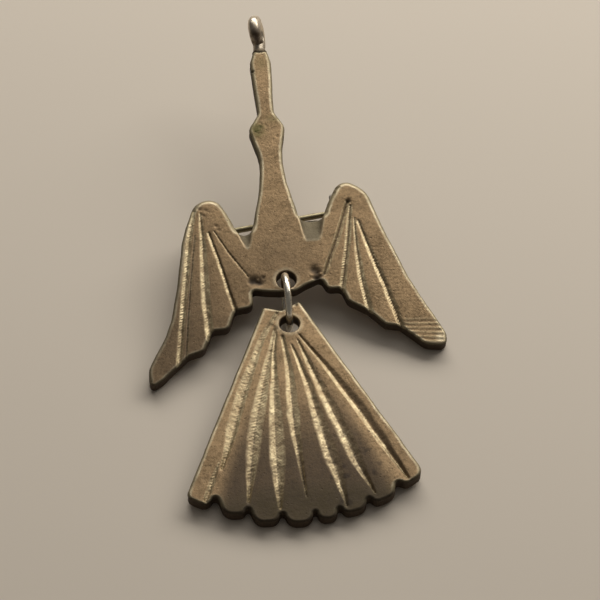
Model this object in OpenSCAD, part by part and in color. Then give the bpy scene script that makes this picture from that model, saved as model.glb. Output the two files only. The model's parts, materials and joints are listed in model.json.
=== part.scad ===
// Bird brooch-pendant: a flat cast bird with a wire eye on its beak, a brooch
// pin on its back and a fan tail that hangs from it on a jump ring.
// Millimetres. It lies on its back as on a table: +Z up, +Y towards the beak,
// +X to the bird's right-hand side as seen from the front.

/* [Bird casting] */
// Thickness of the bird casting
bird_thick = 2.0; // [1.6:0.1:2.6]
// Width across the two wing tips
wing_span = 42; // [34:0.5:52]
// Length from the ring hole to the end of the beak
neck_reach = 39.6; // [32:0.2:48]
// Height of the wings, from the lower wing tip to the higher shoulder
wing_height = 31; // [26:0.2:37.2]
// Diameter of the ring hole in each casting
hole_d = 2.8; // [2.4:0.1:3.4]
// Metal left between the ring hole and the body's lower edge
body_lip = 0.5; // [0.3:0.05:1]
// Chamfer at both mouths of each ring hole
hole_chamfer = 0.25; // [0.1:0.05:0.4]

/* [Feather grooves] */
// Width of a feather groove at its outer end
groove_w = 1.1; // [0.6:0.1:1.6]
// Depth of a feather groove at its outer end
groove_depth = 0.35; // [0.15:0.05:0.5]

/* [Tail] */
// Thickness of the tail casting
tail_thick = 2.0; // [1.6:0.1:2.6]
// Length of the tail, from its top corner to its lowest feather
tail_len = 35; // [28:0.5:43]
// Width of the tail across its outer feathers
tail_w = 32; // [26:0.5:39]
// Height of the tail's back face over the table, at its ring hole
tail_lift = 2.4; // [2:0.1:3]

/* [Jump ring] */
// Outer diameter of the jump ring
ring_od = 8.4; // [7:0.1:10.5]
// Wire diameter of the jump ring
ring_wire = 1.0; // [0.8:0.05:1.2]
// Gap between the ring wire and the edge of each hole
ring_clearance = 0.12; // [0.05:0.01:0.3]
// Sideways place of the ring in the body hole
ring_x = -0.3; // [-0.5:0.05:0.5]

/* [Bail] */
// Outer diameter of the bail loop
bail_od = 5.6; // [4.6:0.1:7]
// Wire diameter of the bail loop
bail_wire = 1.7; // [1.2:0.1:2]
// Depth of the flat worn inside the bail's eye
bail_wear = 0.12; // [0.05:0.01:0.2]
// Turn of the loop about its shank
bail_twist = 16; // [0:1:45]
// Diameter of the shank under the loop
shank_d = 1.3; // [1:0.1:1.6]
// Gap between the beak and the loop, bridged by the shank
shank_len = 1.0; // [0.5:0.1:2]

/* [Brooch pin] */
// Height of the pin stem's axis over the bird's back
stem_rise = 3.75; // [3:0.05:4.5]
// Diameter of the pin stem
stem_d = 0.9; // [0.7:0.05:1]
// Distance between the hinge rivet and the middle of the catch
stem_span = 20.2; // [16:0.2:22]
// Length of stem beyond the middle of the catch
stem_past = 2.6; // [2:0.1:3.5]
// Height of the stem's middle over the ring hole, along the back
stem_up = 12.7; // [11:0.1:13]
// Sideways place of the stem's middle
stem_x = -0.5; // [-1:0.1:0.5]
// Tilt of the stem across the back
stem_tilt = 7.5; // [0:0.5:8]
// Diameter of the hinge rivet
rivet_d = 0.8; // [0.6:0.05:1]
// Radial clearance of the stem's eye on the rivet
rivet_clearance = 0.04; // [0.02:0.01:0.08]
// Side clearance of the stem's eye between the ears
eye_side_clearance = 0.08; // [0.05:0.01:0.15]
// Thickness of each hinge ear
ear_thick = 0.6; // [0.5:0.05:0.9]

/* [Safety catch] */
// Outer diameter of the catch barrel
barrel_d = 3.5; // [3.4:0.1:4.2]
// Length of the catch barrel
barrel_len = 2.8; // [2.4:0.1:3.6]
// Wall of the catch barrel
barrel_wall = 0.35; // [0.3:0.05:0.4]
// Radial clearance of the lock sleeve in the barrel
lock_clearance = 0.05; // [0.02:0.01:0.1]
// Gap around the stem inside the lock sleeve
stem_clearance = 0.25; // [0.15:0.05:0.3]
// Gap on each side of the stem in the entry slots
slot_clearance = 0.12; // [0.08:0.01:0.18]

/* [Hidden] */
$fn = 64;
eps = 0.01;

// ---- outlines -------------------------------------------------------------

// Rounds each corner [x, y, radius] of a closed outline with an arc.
arc_step = 15;
function unit(v) = v / norm(v);
function corner_arc(a, b, c, r) =
    let (u = unit(a - b), v = unit(c - b),
         half = acos(max(-1, min(1, u * v))) / 2,
         reach = min(r / tan(half), 0.49 * norm(a - b), 0.49 * norm(c - b)),
         rad = reach * tan(half),
         mid = b + unit(u + v) * norm([reach, rad]),
         from = b + u * reach - mid,
         to = b + v * reach - mid,
         a0 = atan2(from.y, from.x),
         turn = atan2(from.x * to.y - from.y * to.x, from * to),
         n = max(1, ceil(abs(turn) / arc_step)))
    [for (i = [0 : n]) mid + rad * [cos(a0 + turn * i / n), sin(a0 + turn * i / n)]];
function rounded(corners) =
    let (n = len(corners))
    [for (i = [0 : n - 1])
        let (a = corners[(i + n - 1) % n], b = corners[i], c = corners[(i + 1) % n])
        each corner_arc([a.x, a.y], [b.x, b.y], [c.x, c.y], b.z)];

// The wings are drawn for a span of drawn_span and a height of drawn_height,
// and stretched outside the body, from wing_root outwards.
drawn_span = 42;
drawn_height = 31;
wing_root = 5;
span_stretch = (wing_span / 2 - wing_root) / (drawn_span / 2 - wing_root);
height_stretch = wing_height / drawn_height;
function wing_x(x) =
    abs(x) <= wing_root ? x : sign(x) * (wing_root + (abs(x) - wing_root) * span_stretch);
function wing(corners) = [for (p = corners) [wing_x(p.x), p.y * height_stretch, p.z]];

// The neck is drawn for a reach of drawn_reach and stretched above neck_root.
drawn_reach = 39.6;
neck_root = 8 * height_stretch;
reach_stretch = (neck_reach - neck_root) / (drawn_reach - neck_root);
function neck_y(y) = y <= neck_root ? y : neck_root + (y - neck_root) * reach_stretch;
function neck(corners) = [for (p = corners) [p.x, neck_y(p.y), p.z]];

// Corners [x, y, radius] run counter-clockwise around the ring hole at [0, 0].
body_edge = -(hole_d / 2 + body_lip);
left_neck = [[-1.2, 39.6, 0.5], [-1.9, 37.6, 1.6], [-1.5, 28.4, 1.4], [-3.2, 25.8, 1.9],
             [-1.9, 20.4, 7], [-2.5, 15.2, 12], [-3.9, 9.6, 4]];
left_wing = [[-4.25, 8.7, 0.5], [-6.2, 8.7, 0.5], [-6.9, 10.6, 4], [-8.6, 14.4, 2.6], [-12.0, 14.2, 2.8],
             [-14.1, 8.4, 14], [-15.7, -1.0, 30], [-17.1, -6.6, 9], [-20.4, -12.6, 3],
             [-20.3, -15.6, 1.4], [-18.5, -14.6, 1.6], [-14.6, -11.0, 1.2], [-12.4, -10.4, 1.4],
             [-11.0, -7.3, 0.5], [-8.7, -7.3, 1.2], [-7.6, -4.3, 0.6], [-5.0, -4.0, 1.2],
             [-4.9, -1.2, 0.5]];
body_low = [[-3.4, -1.6, 1.2], [-1.2, body_edge, 1.2], [1.2, body_edge, 1], [2.8, -1.0, 1.2],
            [4.9, -0.1, 0.5]];
right_wing = [[5.7, -1.9, 0.9], [7.6, -1.9, 0.6], [8.3, -4.0, 1.2], [11.0, -5.7, 1],
              [13.2, -8.2, 1.4], [15.3, -8.6, 1], [18.4, -11.8, 2], [21.4, -12.2, 1.4],
              [21.7, -10.2, 2.4], [18.0, -2.4, 30], [14.9, 7.2, 30], [13.0, 14.2, 3.6],
              [9.3, 16.7, 2.8], [6.8, 11.8, 7], [6.45, 10.4, 0.6]];
right_neck = [[2.86, 10.4, 0.6], [2.7, 11.6, 12], [1.4, 18.0, 12], [1.6, 22.0, 7],
              [2.35, 26.0, 1.8], [0.95, 28.6, 1.6], [1.4, 37.6, 1.6], [0.95, 39.6, 0.5]];
bird_outline = rounded(concat(neck(left_neck), wing(left_wing), body_low, wing(right_wing),
                              neck(right_neck)));

// Feather grooves of each wing as [start, end], shallow at the start.
left_grooves = [[[-12.0, 12.2], [-14.6, -1.5]], [[-14.6, -1.5], [-16.1, -13.0]],
                [[-11.3, 12.0], [-11.6, -8.6]], [[-10.6, 9.4], [-7.5, -4.6]],
                [[-9.4, 8.8], [-4.9, 0.2]]];
right_grooves = [[[10.0, 12.6], [5.2, 0.4]], [[10.5, 11.8], [7.8, -2.4]],
                 [[10.8, 10.4], [10.7, 0.4]], [[10.7, 0.4], [11.2, -6.2]],
                 [[11.2, 9.4], [15.6, -9.6]]];

// The tail is drawn for drawn_tail_w by drawn_tail_len around its ring hole.
drawn_tail_w = 32;
drawn_tail_len = 35;
tail_top = 3.2;
tail_x = tail_w / drawn_tail_w;
tail_y = (tail_len - tail_top) / (drawn_tail_len - tail_top);
function tail_pt(p) = [p.x * (p.y > 0 ? 1 : tail_x), p.y * (p.y > 0 ? 1 : tail_y)];
tail_corners = [[1.8, 3.9, 0.5], [0.4, 3.2, 1], [-0.9, 2.5, 0.8], [-3.4, 3.4, 0.5],
                [-16.6, -26.6, 1.2], [-13.7, -28.3, 1.4], [-12.5, -26.3, 0.4],
                [-11.6, -29.7, 1.8], [-9.0, -29.9, 1.4], [-8.4, -28.6, 0.4],
                [-7.6, -31.3, 1.6], [-4.6, -31.4, 1.6], [-4.0, -29.4, 0.4],
                [-3.3, -31.9, 1.6], [-0.2, -31.8, 1.6], [0.3, -29.3, 0.4],
                [0.8, -31.7, 1.2], [3.1, -31.6, 1.2], [3.5, -29.4, 0.4],
                [4.2, -31.1, 1.6], [7.0, -30.6, 1.6], [7.5, -28.4, 0.4],
                [8.4, -29.9, 1.6], [11.0, -28.9, 1.6], [11.6, -26.6, 0.4],
                [12.7, -27.5, 1.4], [15.6, -25.9, 1.6]];
tail_outline = rounded([for (p = tail_corners) [each tail_pt(p), p.z]]);
tail_grooves = [[[-2.2, 0.6], [-12.9, -27.2]], [[-1.9, -0.4], [-8.4, -29.2]],
                [[-2.0, -1.8], [-4.0, -30.2]], [[-1.1, -2.0], [0.1, -30.0]],
                [[0.2, -2.6], [3.9, -30.2]], [[0.9, -2.2], [7.8, -29.4]],
                [[1.3, -1.6], [12.0, -27.4]]];

// ---- hinge of the pin ------------------------------------------------------

// The stem's eye turns on the rivet between two ears.
eye_thick = stem_d;
eye_hole_r = rivet_d / 2 + rivet_clearance;
eye_r = eye_hole_r + 0.65;
ear_gap = eye_thick + 2 * eye_side_clearance;
joint_w = ear_gap + 2 * ear_thick;

// ---- resting place --------------------------------------------------------

// The brooch leans on its wing tips, on its catch and on its pin's hinge, whose
// ears get the radius at which they touch the table together with the catch.
finding_r = barrel_d / 2;
stem_dir = [cos(stem_tilt), sin(stem_tilt)];
catch_at = [stem_x, stem_up] + stem_dir * stem_span / 2;
ears_at = [stem_x, stem_up] - stem_dir * stem_span / 2 - [0, joint_w / 2];
function lowest(pts, side) =
    let (ys = [for (p = pts) if (p.x * side > 0) p.y], low = min(ys))
    [for (p = pts) if (p.x * side > 0 && p.y == low) p][0];
left_tip = lowest(bird_outline, -1);
right_tip = lowest(bird_outline, 1);
tips_slope = (right_tip.y - left_tip.y) / (right_tip.x - left_tip.x);
function arm(at) = at.y - left_tip.y - (at.x - left_tip.x) * tips_slope;
catch_pitch = atan(stem_rise / arm(catch_at)) + asin(finding_r / norm([arm(catch_at), stem_rise]));
ear_r = max(eye_r + 0.15, min(finding_r, arm(ears_at) * tan(catch_pitch) - stem_rise));
brooch_pitch = max(catch_pitch, atan((stem_rise + ear_r) / arm(ears_at)));
brooch_roll = atan(tips_slope * sin(brooch_pitch));
function brooch_z(p, w) =
    (p.y * sin(brooch_pitch) + w * cos(brooch_pitch)) * cos(brooch_roll) - p.x * sin(brooch_roll);
barrel_dip = abs(brooch_z(stem_dir, 0)) * barrel_len / 2;
brooch_lift = -min([for (p = bird_outline) brooch_z(p, -bird_thick),
                    brooch_z(catch_at, -bird_thick - stem_rise) - finding_r - barrel_dip,
                    brooch_z(ears_at, -bird_thick - stem_rise - ear_r)]);
module brooch_place() {
    translate([0, 0, brooch_lift])
        rotate([brooch_pitch, brooch_roll, 0])
            children();
}

// The ring stands upright on the table, inside both lips with ring_clearance.
ring_mean_r = (ring_od - ring_wire) / 2;
ring_inner_r = ring_mean_r - ring_wire / 2;
ring_z = ring_od / 2;
lip_y = -(hole_d / 2 + hole_chamfer);
lip = [lip_y * cos(brooch_pitch) + bird_thick * sin(brooch_pitch),
       brooch_lift + lip_y * sin(brooch_pitch) - bird_thick * cos(brooch_pitch)];
lip_reach = sqrt(pow(ring_inner_r - ring_clearance, 2) - pow(ring_z - lip.y, 2));
ring_y = lip.x - lip_reach;

// The tail's hole lies where its own lip meets the ring at tail_lift.
tail_lip_z = tail_lift + hole_chamfer;
tail_reach = sqrt(pow(ring_inner_r - ring_clearance, 2) - pow(ring_z - tail_lip_z, 2));
tail_hole_y = ring_y - tail_reach - hole_d / 2;
tail_hole_x = -0.35;
tail_low = -min([for (p = tail_outline) p.y]);
tail_hole_z = tail_lift + tail_thick;
tail_pitch = asin(tail_hole_z / norm([tail_low, tail_thick])) - atan(tail_thick / tail_low);
module tail_place() {
    translate([tail_hole_x, tail_hole_y, tail_hole_z])
        rotate([tail_pitch, 0, 0])
            children();
}

// The bail stands across the end of the beak, turned by bail_twist.
bail_mean_r = (bail_od - bail_wire) / 2;
bail_x = -0.15;
bail_y = neck_reach + shank_len + bail_od / 2;
bail_depth = bird_thick / 2;
bail_hole_r = bail_mean_r - bail_wire / 2 + bail_wear;

// The origin stands under the middle of the whole piece.
bail_top_y = bail_y * cos(brooch_pitch) + bail_depth * sin(brooch_pitch) + bail_od / 2;
tail_end_y = tail_hole_y - tail_low * cos(tail_pitch) + tail_thick * sin(tail_pitch);
left_reach = min([for (p = bird_outline) p.x]) * cos(brooch_roll) - bird_thick * sin(brooch_roll);
right_reach = max([for (p = bird_outline) p.x]) * cos(brooch_roll);
centre_x = (left_reach + right_reach) / 2;
centre_y = (bail_top_y + tail_end_y) / 2;
module placed() {
    translate([-centre_x, -centre_y, 0])
        children();
}

// ---- castings -------------------------------------------------------------

// A flat casting of the given outline, with its front face at z = 0.
module plate(pts, thick) {
    translate([0, 0, -thick])
        linear_extrude(height = thick)
            polygon(pts);
}

// A round ring hole with a chamfer at both mouths.
module ring_hole(thick) {
    translate([0, 0, -thick - eps])
        cylinder(h = thick + 2 * eps, d = hole_d);
    translate([0, 0, -hole_chamfer])
        cylinder(h = hole_chamfer + eps, d1 = hole_d, d2 = hole_d + 2 * hole_chamfer);
    translate([0, 0, -thick - eps])
        cylinder(h = hole_chamfer + eps, d1 = hole_d + 2 * hole_chamfer, d2 = hole_d);
}

// A round-bottomed groove that deepens from start to end.
groove_r = (pow(groove_w / 2, 2) + pow(groove_depth, 2)) / (2 * groove_depth);
module groove(start, end, from_depth = 0) {
    along = end - start;
    fall = atan((groove_depth - from_depth) / norm(along));
    translate([start.x, start.y, groove_r - from_depth])
        rotate([0, 90 + fall, atan2(along.y, along.x)])
            cylinder(h = norm(along) / cos(fall), r = groove_r);
}

module bird_casting() {
    color([0.50, 0.42, 0.32])
        placed()
            brooch_place()
                difference() {
                    plate(bird_outline, bird_thick);
                    ring_hole(bird_thick);
                    for (g = concat(left_grooves, right_grooves)) {
                        start = wing([[each g[0], 0]])[0];
                        end = wing([[each g[1], 0]])[0];
                        groove([start.x, start.y], [end.x, end.y]);
                    }
                }
}

module tail_fan() {
    color([0.42, 0.35, 0.26])
        placed()
            tail_place()
                difference() {
                    plate(tail_outline, tail_thick);
                    ring_hole(tail_thick);
                    for (g = tail_grooves)
                        groove(tail_pt(g[0]), tail_pt(g[1]));
                }
}

// ---- rings ----------------------------------------------------------------

// A wire ring in the YZ plane around the origin.
module wire_ring(mean_r, wire) {
    rotate([0, 90, 0])
        rotate_extrude()
            translate([mean_r, 0])
                circle(d = wire, $fn = 32);
}

module jump_ring() {
    color([0.78, 0.74, 0.64])
        placed()
            translate([ring_x, ring_y, ring_z])
                wire_ring(ring_mean_r, ring_wire);
}

module bail_place() {
    brooch_place()
        translate([bail_x, bail_y, -bail_depth])
            rotate([0, -bail_twist, 0])
                children();
}

// From the loop's inner side down to the beak; the eye is worn flat inside.
module bail_loop() {
    shank_top = bail_mean_r;
    color([0.74, 0.68, 0.56])
        placed()
            bail_place()
                difference() {
                    union() {
                        wire_ring(bail_mean_r, bail_wire);
                        translate([0, neck_reach - bail_y, 0])
                            rotate([-90, 0, 0])
                                cylinder(h = bail_y - neck_reach - shank_top, d = shank_d);
                    }
                    rotate([0, 90, 0])
                        cylinder(h = 2 * bail_wire, r = bail_hole_r, center = true);
                }
}

// A solder collar that flares round the shank where it meets the beak.
collar_d = shank_d + 0.6;
collar_h = 0.6 * shank_len;
module bail_solder() {
    color([0.34, 0.29, 0.21])
        placed()
            bail_place()
                translate([0, neck_reach - bail_y, 0])
                    rotate([-90, 0, 0])
                        difference() {
                            cylinder(h = collar_h, d1 = collar_d, d2 = shank_d + 0.1);
                            translate([0, 0, -eps])
                                cylinder(h = collar_h + 2 * eps, d = shank_d);
                        }
}

// ---- brooch pin, drawn on the back: +X along the stem, +Z away from it ----

module back_place() {
    placed()
        brooch_place()
            translate([stem_x, stem_up, -bird_thick])
                rotate([0, 0, stem_tilt])
                    rotate([180, 0, 0])
                        children();
}

joint_x = -stem_span / 2;
catch_x = stem_span / 2;
solder_h = 0.15;
base_h = 0.5;
joint_base = [3.6, 3.4];
catch_base = [3.2, 2.6];
catch_base_y = 0.4;
rivet_head = [0.7 * rivet_d, 0.3];

module base_plate(size, height) {
    translate([-size.x / 2, -size.y / 2, 0])
        cube([size.x, size.y, height]);
}

module joint_solder() {
    color([0.55, 0.52, 0.46])
        back_place()
            translate([joint_x, 0, 0])
                base_plate(joint_base + [0.4, 0.4], solder_h);
}

module catch_solder() {
    color([0.55, 0.52, 0.46])
        back_place()
            translate([catch_x, catch_base_y, 0])
                base_plate(catch_base + [0.4, 0.2], solder_h);
}

// Two rounded ears on a base plate, bored for the rivet.
module pin_joint() {
    color([0.62, 0.60, 0.55])
        back_place()
            translate([joint_x, 0, 0])
                difference() {
                    union() {
                        translate([0, 0, solder_h])
                            base_plate(joint_base, base_h);
                        for (side = [-1, 1])
                            translate([0, side * (ear_gap + ear_thick) / 2, 0]) {
                                translate([0, 0, stem_rise])
                                    rotate([90, 0, 0])
                                        cylinder(h = ear_thick, r = ear_r, center = true);
                                translate([-ear_r, -ear_thick / 2, solder_h + base_h])
                                    cube([2 * ear_r, ear_thick, stem_rise - solder_h - base_h]);
                            }
                    }
                    translate([0, 0, stem_rise])
                        rotate([90, 0, 0])
                            cylinder(h = 2 * joint_w, d = rivet_d, center = true);
                }
}

// The rivet fills both ears and has a flat head outside each.
module joint_rivet() {
    color([0.66, 0.64, 0.60])
        back_place()
            translate([joint_x, 0, stem_rise])
                rotate([90, 0, 0]) {
                    cylinder(h = joint_w, d = rivet_d, center = true);
                    for (side = [-1, 1])
                        translate([0, 0, side * (joint_w + rivet_head[1]) / 2])
                            cylinder(h = rivet_head[1], r = rivet_head[0], center = true);
                }
}

root_from = eye_hole_r + 0.2;
root_to = ear_r + 0.35;
free_to = stem_span - barrel_len / 2 - 0.3;
point_len = 3;
point_from = stem_span + stem_past - point_len;
stem_lengths = [root_from, root_to, free_to, point_from, point_from + point_len];
stem_widths = [stem_d + 0.06, stem_d, stem_d, 0.85 * stem_d, 0.16];

// A wire with a rolled eye and a thicker root at the hinge. It is straight and
// parallel as far as the catch, thins a little inside it and ends in a point.
module pin_stem() {
    color([0.70, 0.68, 0.63])
        back_place()
            translate([joint_x, 0, stem_rise])
                difference() {
                    union() {
                        rotate([90, 0, 0])
                            cylinder(h = eye_thick, r = eye_r, center = true);
                        rotate([0, 90, 0])
                            rotate_extrude()
                                polygon(concat([[0, root_from]],
                                    [for (i = [0 : 4]) [stem_widths[i] / 2, stem_lengths[i]]],
                                    [[0, point_from + point_len]]));
                    }
                    rotate([90, 0, 0])
                        cylinder(h = 2 * eye_thick, r = eye_hole_r, center = true);
                }
}

lock_outer_r = finding_r - barrel_wall - lock_clearance;
lock_inner_r = stem_d / 2 + stem_clearance;
lock_slot_w = stem_d + 2 * slot_clearance;
barrel_slot_w = lock_slot_w + 0.15;
lever_len = 1.15;
lever_w = 0.5;
lever_angle = 118;
window_len = lever_len + 0.2;
window_from = 5;
window_to = 134;

// A wedge from angle a to angle b, measured from +Z towards -Y, along X.
module wedge(a, b, radius, length) {
    steps = 8;
    rotate([0, 90, 0])
        linear_extrude(height = length, center = true)
            polygon(concat([[0, 0]], [for (i = [0 : steps])
                let (t = a + (b - a) * i / steps) radius * [-cos(t), -sin(t)]]));
}

// The housing: a pedestal and a barrel with an entry slot and a lever window.
module catch_barrel() {
    bore_r = finding_r - barrel_wall;
    color([0.64, 0.62, 0.57])
        back_place()
            translate([catch_x, 0, 0])
                difference() {
                    union() {
                        translate([0, catch_base_y, solder_h])
                            base_plate(catch_base, base_h);
                        translate([-barrel_len / 2, -0.8, solder_h])
                            cube([barrel_len, 1.6, stem_rise - bore_r - solder_h]);
                        translate([0, 0, stem_rise])
                            rotate([0, 90, 0])
                                cylinder(h = barrel_len, r = finding_r, center = true);
                    }
                    translate([0, 0, stem_rise]) {
                        rotate([0, 90, 0])
                            cylinder(h = 2 * barrel_len, r = bore_r, center = true);
                        translate([-barrel_len, -barrel_slot_w / 2, 0])
                            cube([2 * barrel_len, barrel_slot_w, 2 * finding_r]);
                        wedge(window_from, window_to, 2 * finding_r, window_len);
                    }
                }
}

// The turning sleeve: its slot meets the entry slot when the catch is open.
module catch_lock() {
    color([0.68, 0.66, 0.61])
        back_place()
            translate([catch_x, 0, stem_rise])
                difference() {
                    union() {
                        rotate([0, 90, 0])
                            cylinder(h = barrel_len, r = lock_outer_r, center = true);
                        rotate([lever_angle, 0, 0])
                            translate([-lever_len / 2, -lever_w / 2, lock_inner_r + 0.2])
                                cube([lever_len, lever_w, 2.7 - lock_inner_r - 0.2]);
                    }
                    rotate([0, 90, 0])
                        cylinder(h = 2 * barrel_len, r = lock_inner_r, center = true);
                    translate([-barrel_len, -lock_slot_w / 2, 0])
                        cube([2 * barrel_len, lock_slot_w, 2 * finding_r]);
                }
}

bird_casting();
tail_fan();
jump_ring();
bail_loop();
bail_solder();
pin_joint();
joint_rivet();
pin_stem();
catch_barrel();
catch_lock();
joint_solder();
catch_solder();
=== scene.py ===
"""Builds the visible bird brooch-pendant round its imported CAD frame.

Lengths inside the functions are millimetres; MM turns them into metres where
they go into a mesh. A casting is drawn in its own plane: x to the right,
y towards the beak, z out of the front, with the ring hole at the origin.
"""

import json
import math

import bmesh
import bpy
import numpy as np
from mathutils import Matrix, Vector, geometry, kdtree


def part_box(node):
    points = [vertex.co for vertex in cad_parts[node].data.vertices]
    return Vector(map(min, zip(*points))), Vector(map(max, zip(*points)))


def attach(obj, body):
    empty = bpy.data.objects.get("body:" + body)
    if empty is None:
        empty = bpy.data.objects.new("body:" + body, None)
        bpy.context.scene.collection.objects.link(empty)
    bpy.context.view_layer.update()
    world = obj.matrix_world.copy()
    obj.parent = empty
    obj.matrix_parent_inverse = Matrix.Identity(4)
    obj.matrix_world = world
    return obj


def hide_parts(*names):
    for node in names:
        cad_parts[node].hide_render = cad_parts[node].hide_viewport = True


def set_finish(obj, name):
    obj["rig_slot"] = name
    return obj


bl_info = {
    "name": "Bird brooch-pendant",
    "version": (1, 0, 0),
    "blender": (4, 5, 0),
    "location": "3D View > Sidebar > Brooch",
    "description": "Builds a cast bird brooch with a fan tail round its CAD frame",
    "category": "Object",
}

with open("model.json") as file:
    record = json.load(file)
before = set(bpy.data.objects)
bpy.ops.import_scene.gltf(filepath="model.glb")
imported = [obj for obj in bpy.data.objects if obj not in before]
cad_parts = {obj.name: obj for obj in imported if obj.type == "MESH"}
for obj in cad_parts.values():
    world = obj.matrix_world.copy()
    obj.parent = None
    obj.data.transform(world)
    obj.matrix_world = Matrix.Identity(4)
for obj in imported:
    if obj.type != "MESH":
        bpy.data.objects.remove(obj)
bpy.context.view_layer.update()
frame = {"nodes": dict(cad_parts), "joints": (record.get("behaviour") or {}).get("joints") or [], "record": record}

MM = 0.001
NODES = frame["nodes"]

# ---- feather grooves --------------------------------------------------------
# Each groove is an open V cut along its points, from the beak side down. left and
# right are the widths of its two slopes, spread evenly along it; depth, chatter
# (tool marks, 0 to 1), pitch and slant of those marks; lit is how bright each slope is
# painted, clean cut metal plus a painted highlight on the slope that faces the light,
# and slit how strong the dark line at the bottom of the V is.

BIRD_GROOVES = [
    # left wing, from the leading edge inwards
    dict(path=[(-12.1, 12.5), (-13.2, 7.5), (-14.4, -0.8), (-15.4, -7.4), (-16.1, -12.4)],
         left=(0.3, 0.42, 0.4, 0.36), right=(0.22, 0.34, 0.3, 0.3), depth=(0.12, 0.24),
         chatter=0.95, pitch=0.44, slant=0.9, lit=(0.95, 0.8), slit=0.15),
    dict(path=[(-12.3, 8.4), (-13.55, 0.6), (-14.5, -6.8), (-15.1, -11.6)],
         left=(0.1, 0.14), right=(0.12, 0.2), depth=(0.08, 0.16),
         chatter=0.2, pitch=0.5, slant=0.5, lit=(0.3, 0.75), slit=0.7),
    dict(path=[(-11.3, 12.0), (-11.35, 5.9), (-11.6, -2.2), (-11.45, -8.4)],
         left=(0.14, 0.4, 0.5, 0.5), right=(0.14, 0.4, 0.5, 0.46), depth=(0.12, 0.28),
         chatter=1.0, pitch=0.43, slant=1.0, lit=(0.95, 0.75), slit=0.3),
    dict(path=[(-10.35, 8.8), (-9.25, 4.3), (-8.1, -1.3), (-7.4, -4.4)],
         left=(0.3, 0.42, 0.36), right=(0.1, 0.16, 0.16), depth=(0.1, 0.24),
         chatter=0.5, pitch=0.4, slant=0.5, lit=(0.85, 0.3), slit=0.75),
    dict(path=[(-9.6, 8.9), (-7.9, 5.4), (-5.3, 0.9)],
         left=(0.14, 0.2, 0.16), right=(0.12, 0.14, 0.12), depth=(0.1, 0.1),
         chatter=0.9, pitch=0.6, slant=0.1, lit=(0.3, 0.3), slit=0.6),
    # right wing, from the body outwards
    dict(path=[(10.15, 12.6), (8.1, 7.0), (5.5, 0.7)],
         left=(0.26, 0.28, 0.24), right=(0.36, 0.42, 0.3), depth=(0.24, 0.22),
         chatter=0.5, pitch=0.36, slant=0.6, lit=(0.65, 0.85), slit=1.0),
    dict(path=[(10.45, 11.8), (9.3, 5.3), (7.75, -2.2)],
         left=(0.24, 0.34, 0.36), right=(0.24, 0.34, 0.36), depth=(0.14, 0.24),
         chatter=0.8, pitch=0.4, slant=0.8, lit=(0.85, 0.9), slit=0.85),
    dict(path=[(10.75, 9.6), (10.55, 4.6), (10.65, 0.1), (11.25, -6.0)],
         left=(0.12, 0.3, 0.4, 0.36), right=(0.12, 0.24, 0.4, 0.4), depth=(0.08, 0.24),
         chatter=0.8, pitch=0.4, slant=0.8, lit=(0.95, 0.85), slit=0.6),
    dict(path=[(11.2, 9.2), (12.9, 1.9), (14.0, -2.2), (15.5, -9.0)],
         left=(0.26, 0.42, 0.44, 0.4), right=(0.2, 0.3, 0.36, 0.36), depth=(0.1, 0.26),
         chatter=0.6, pitch=0.43, slant=0.8, lit=(0.95, 0.55), slit=0.7),
]
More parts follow.
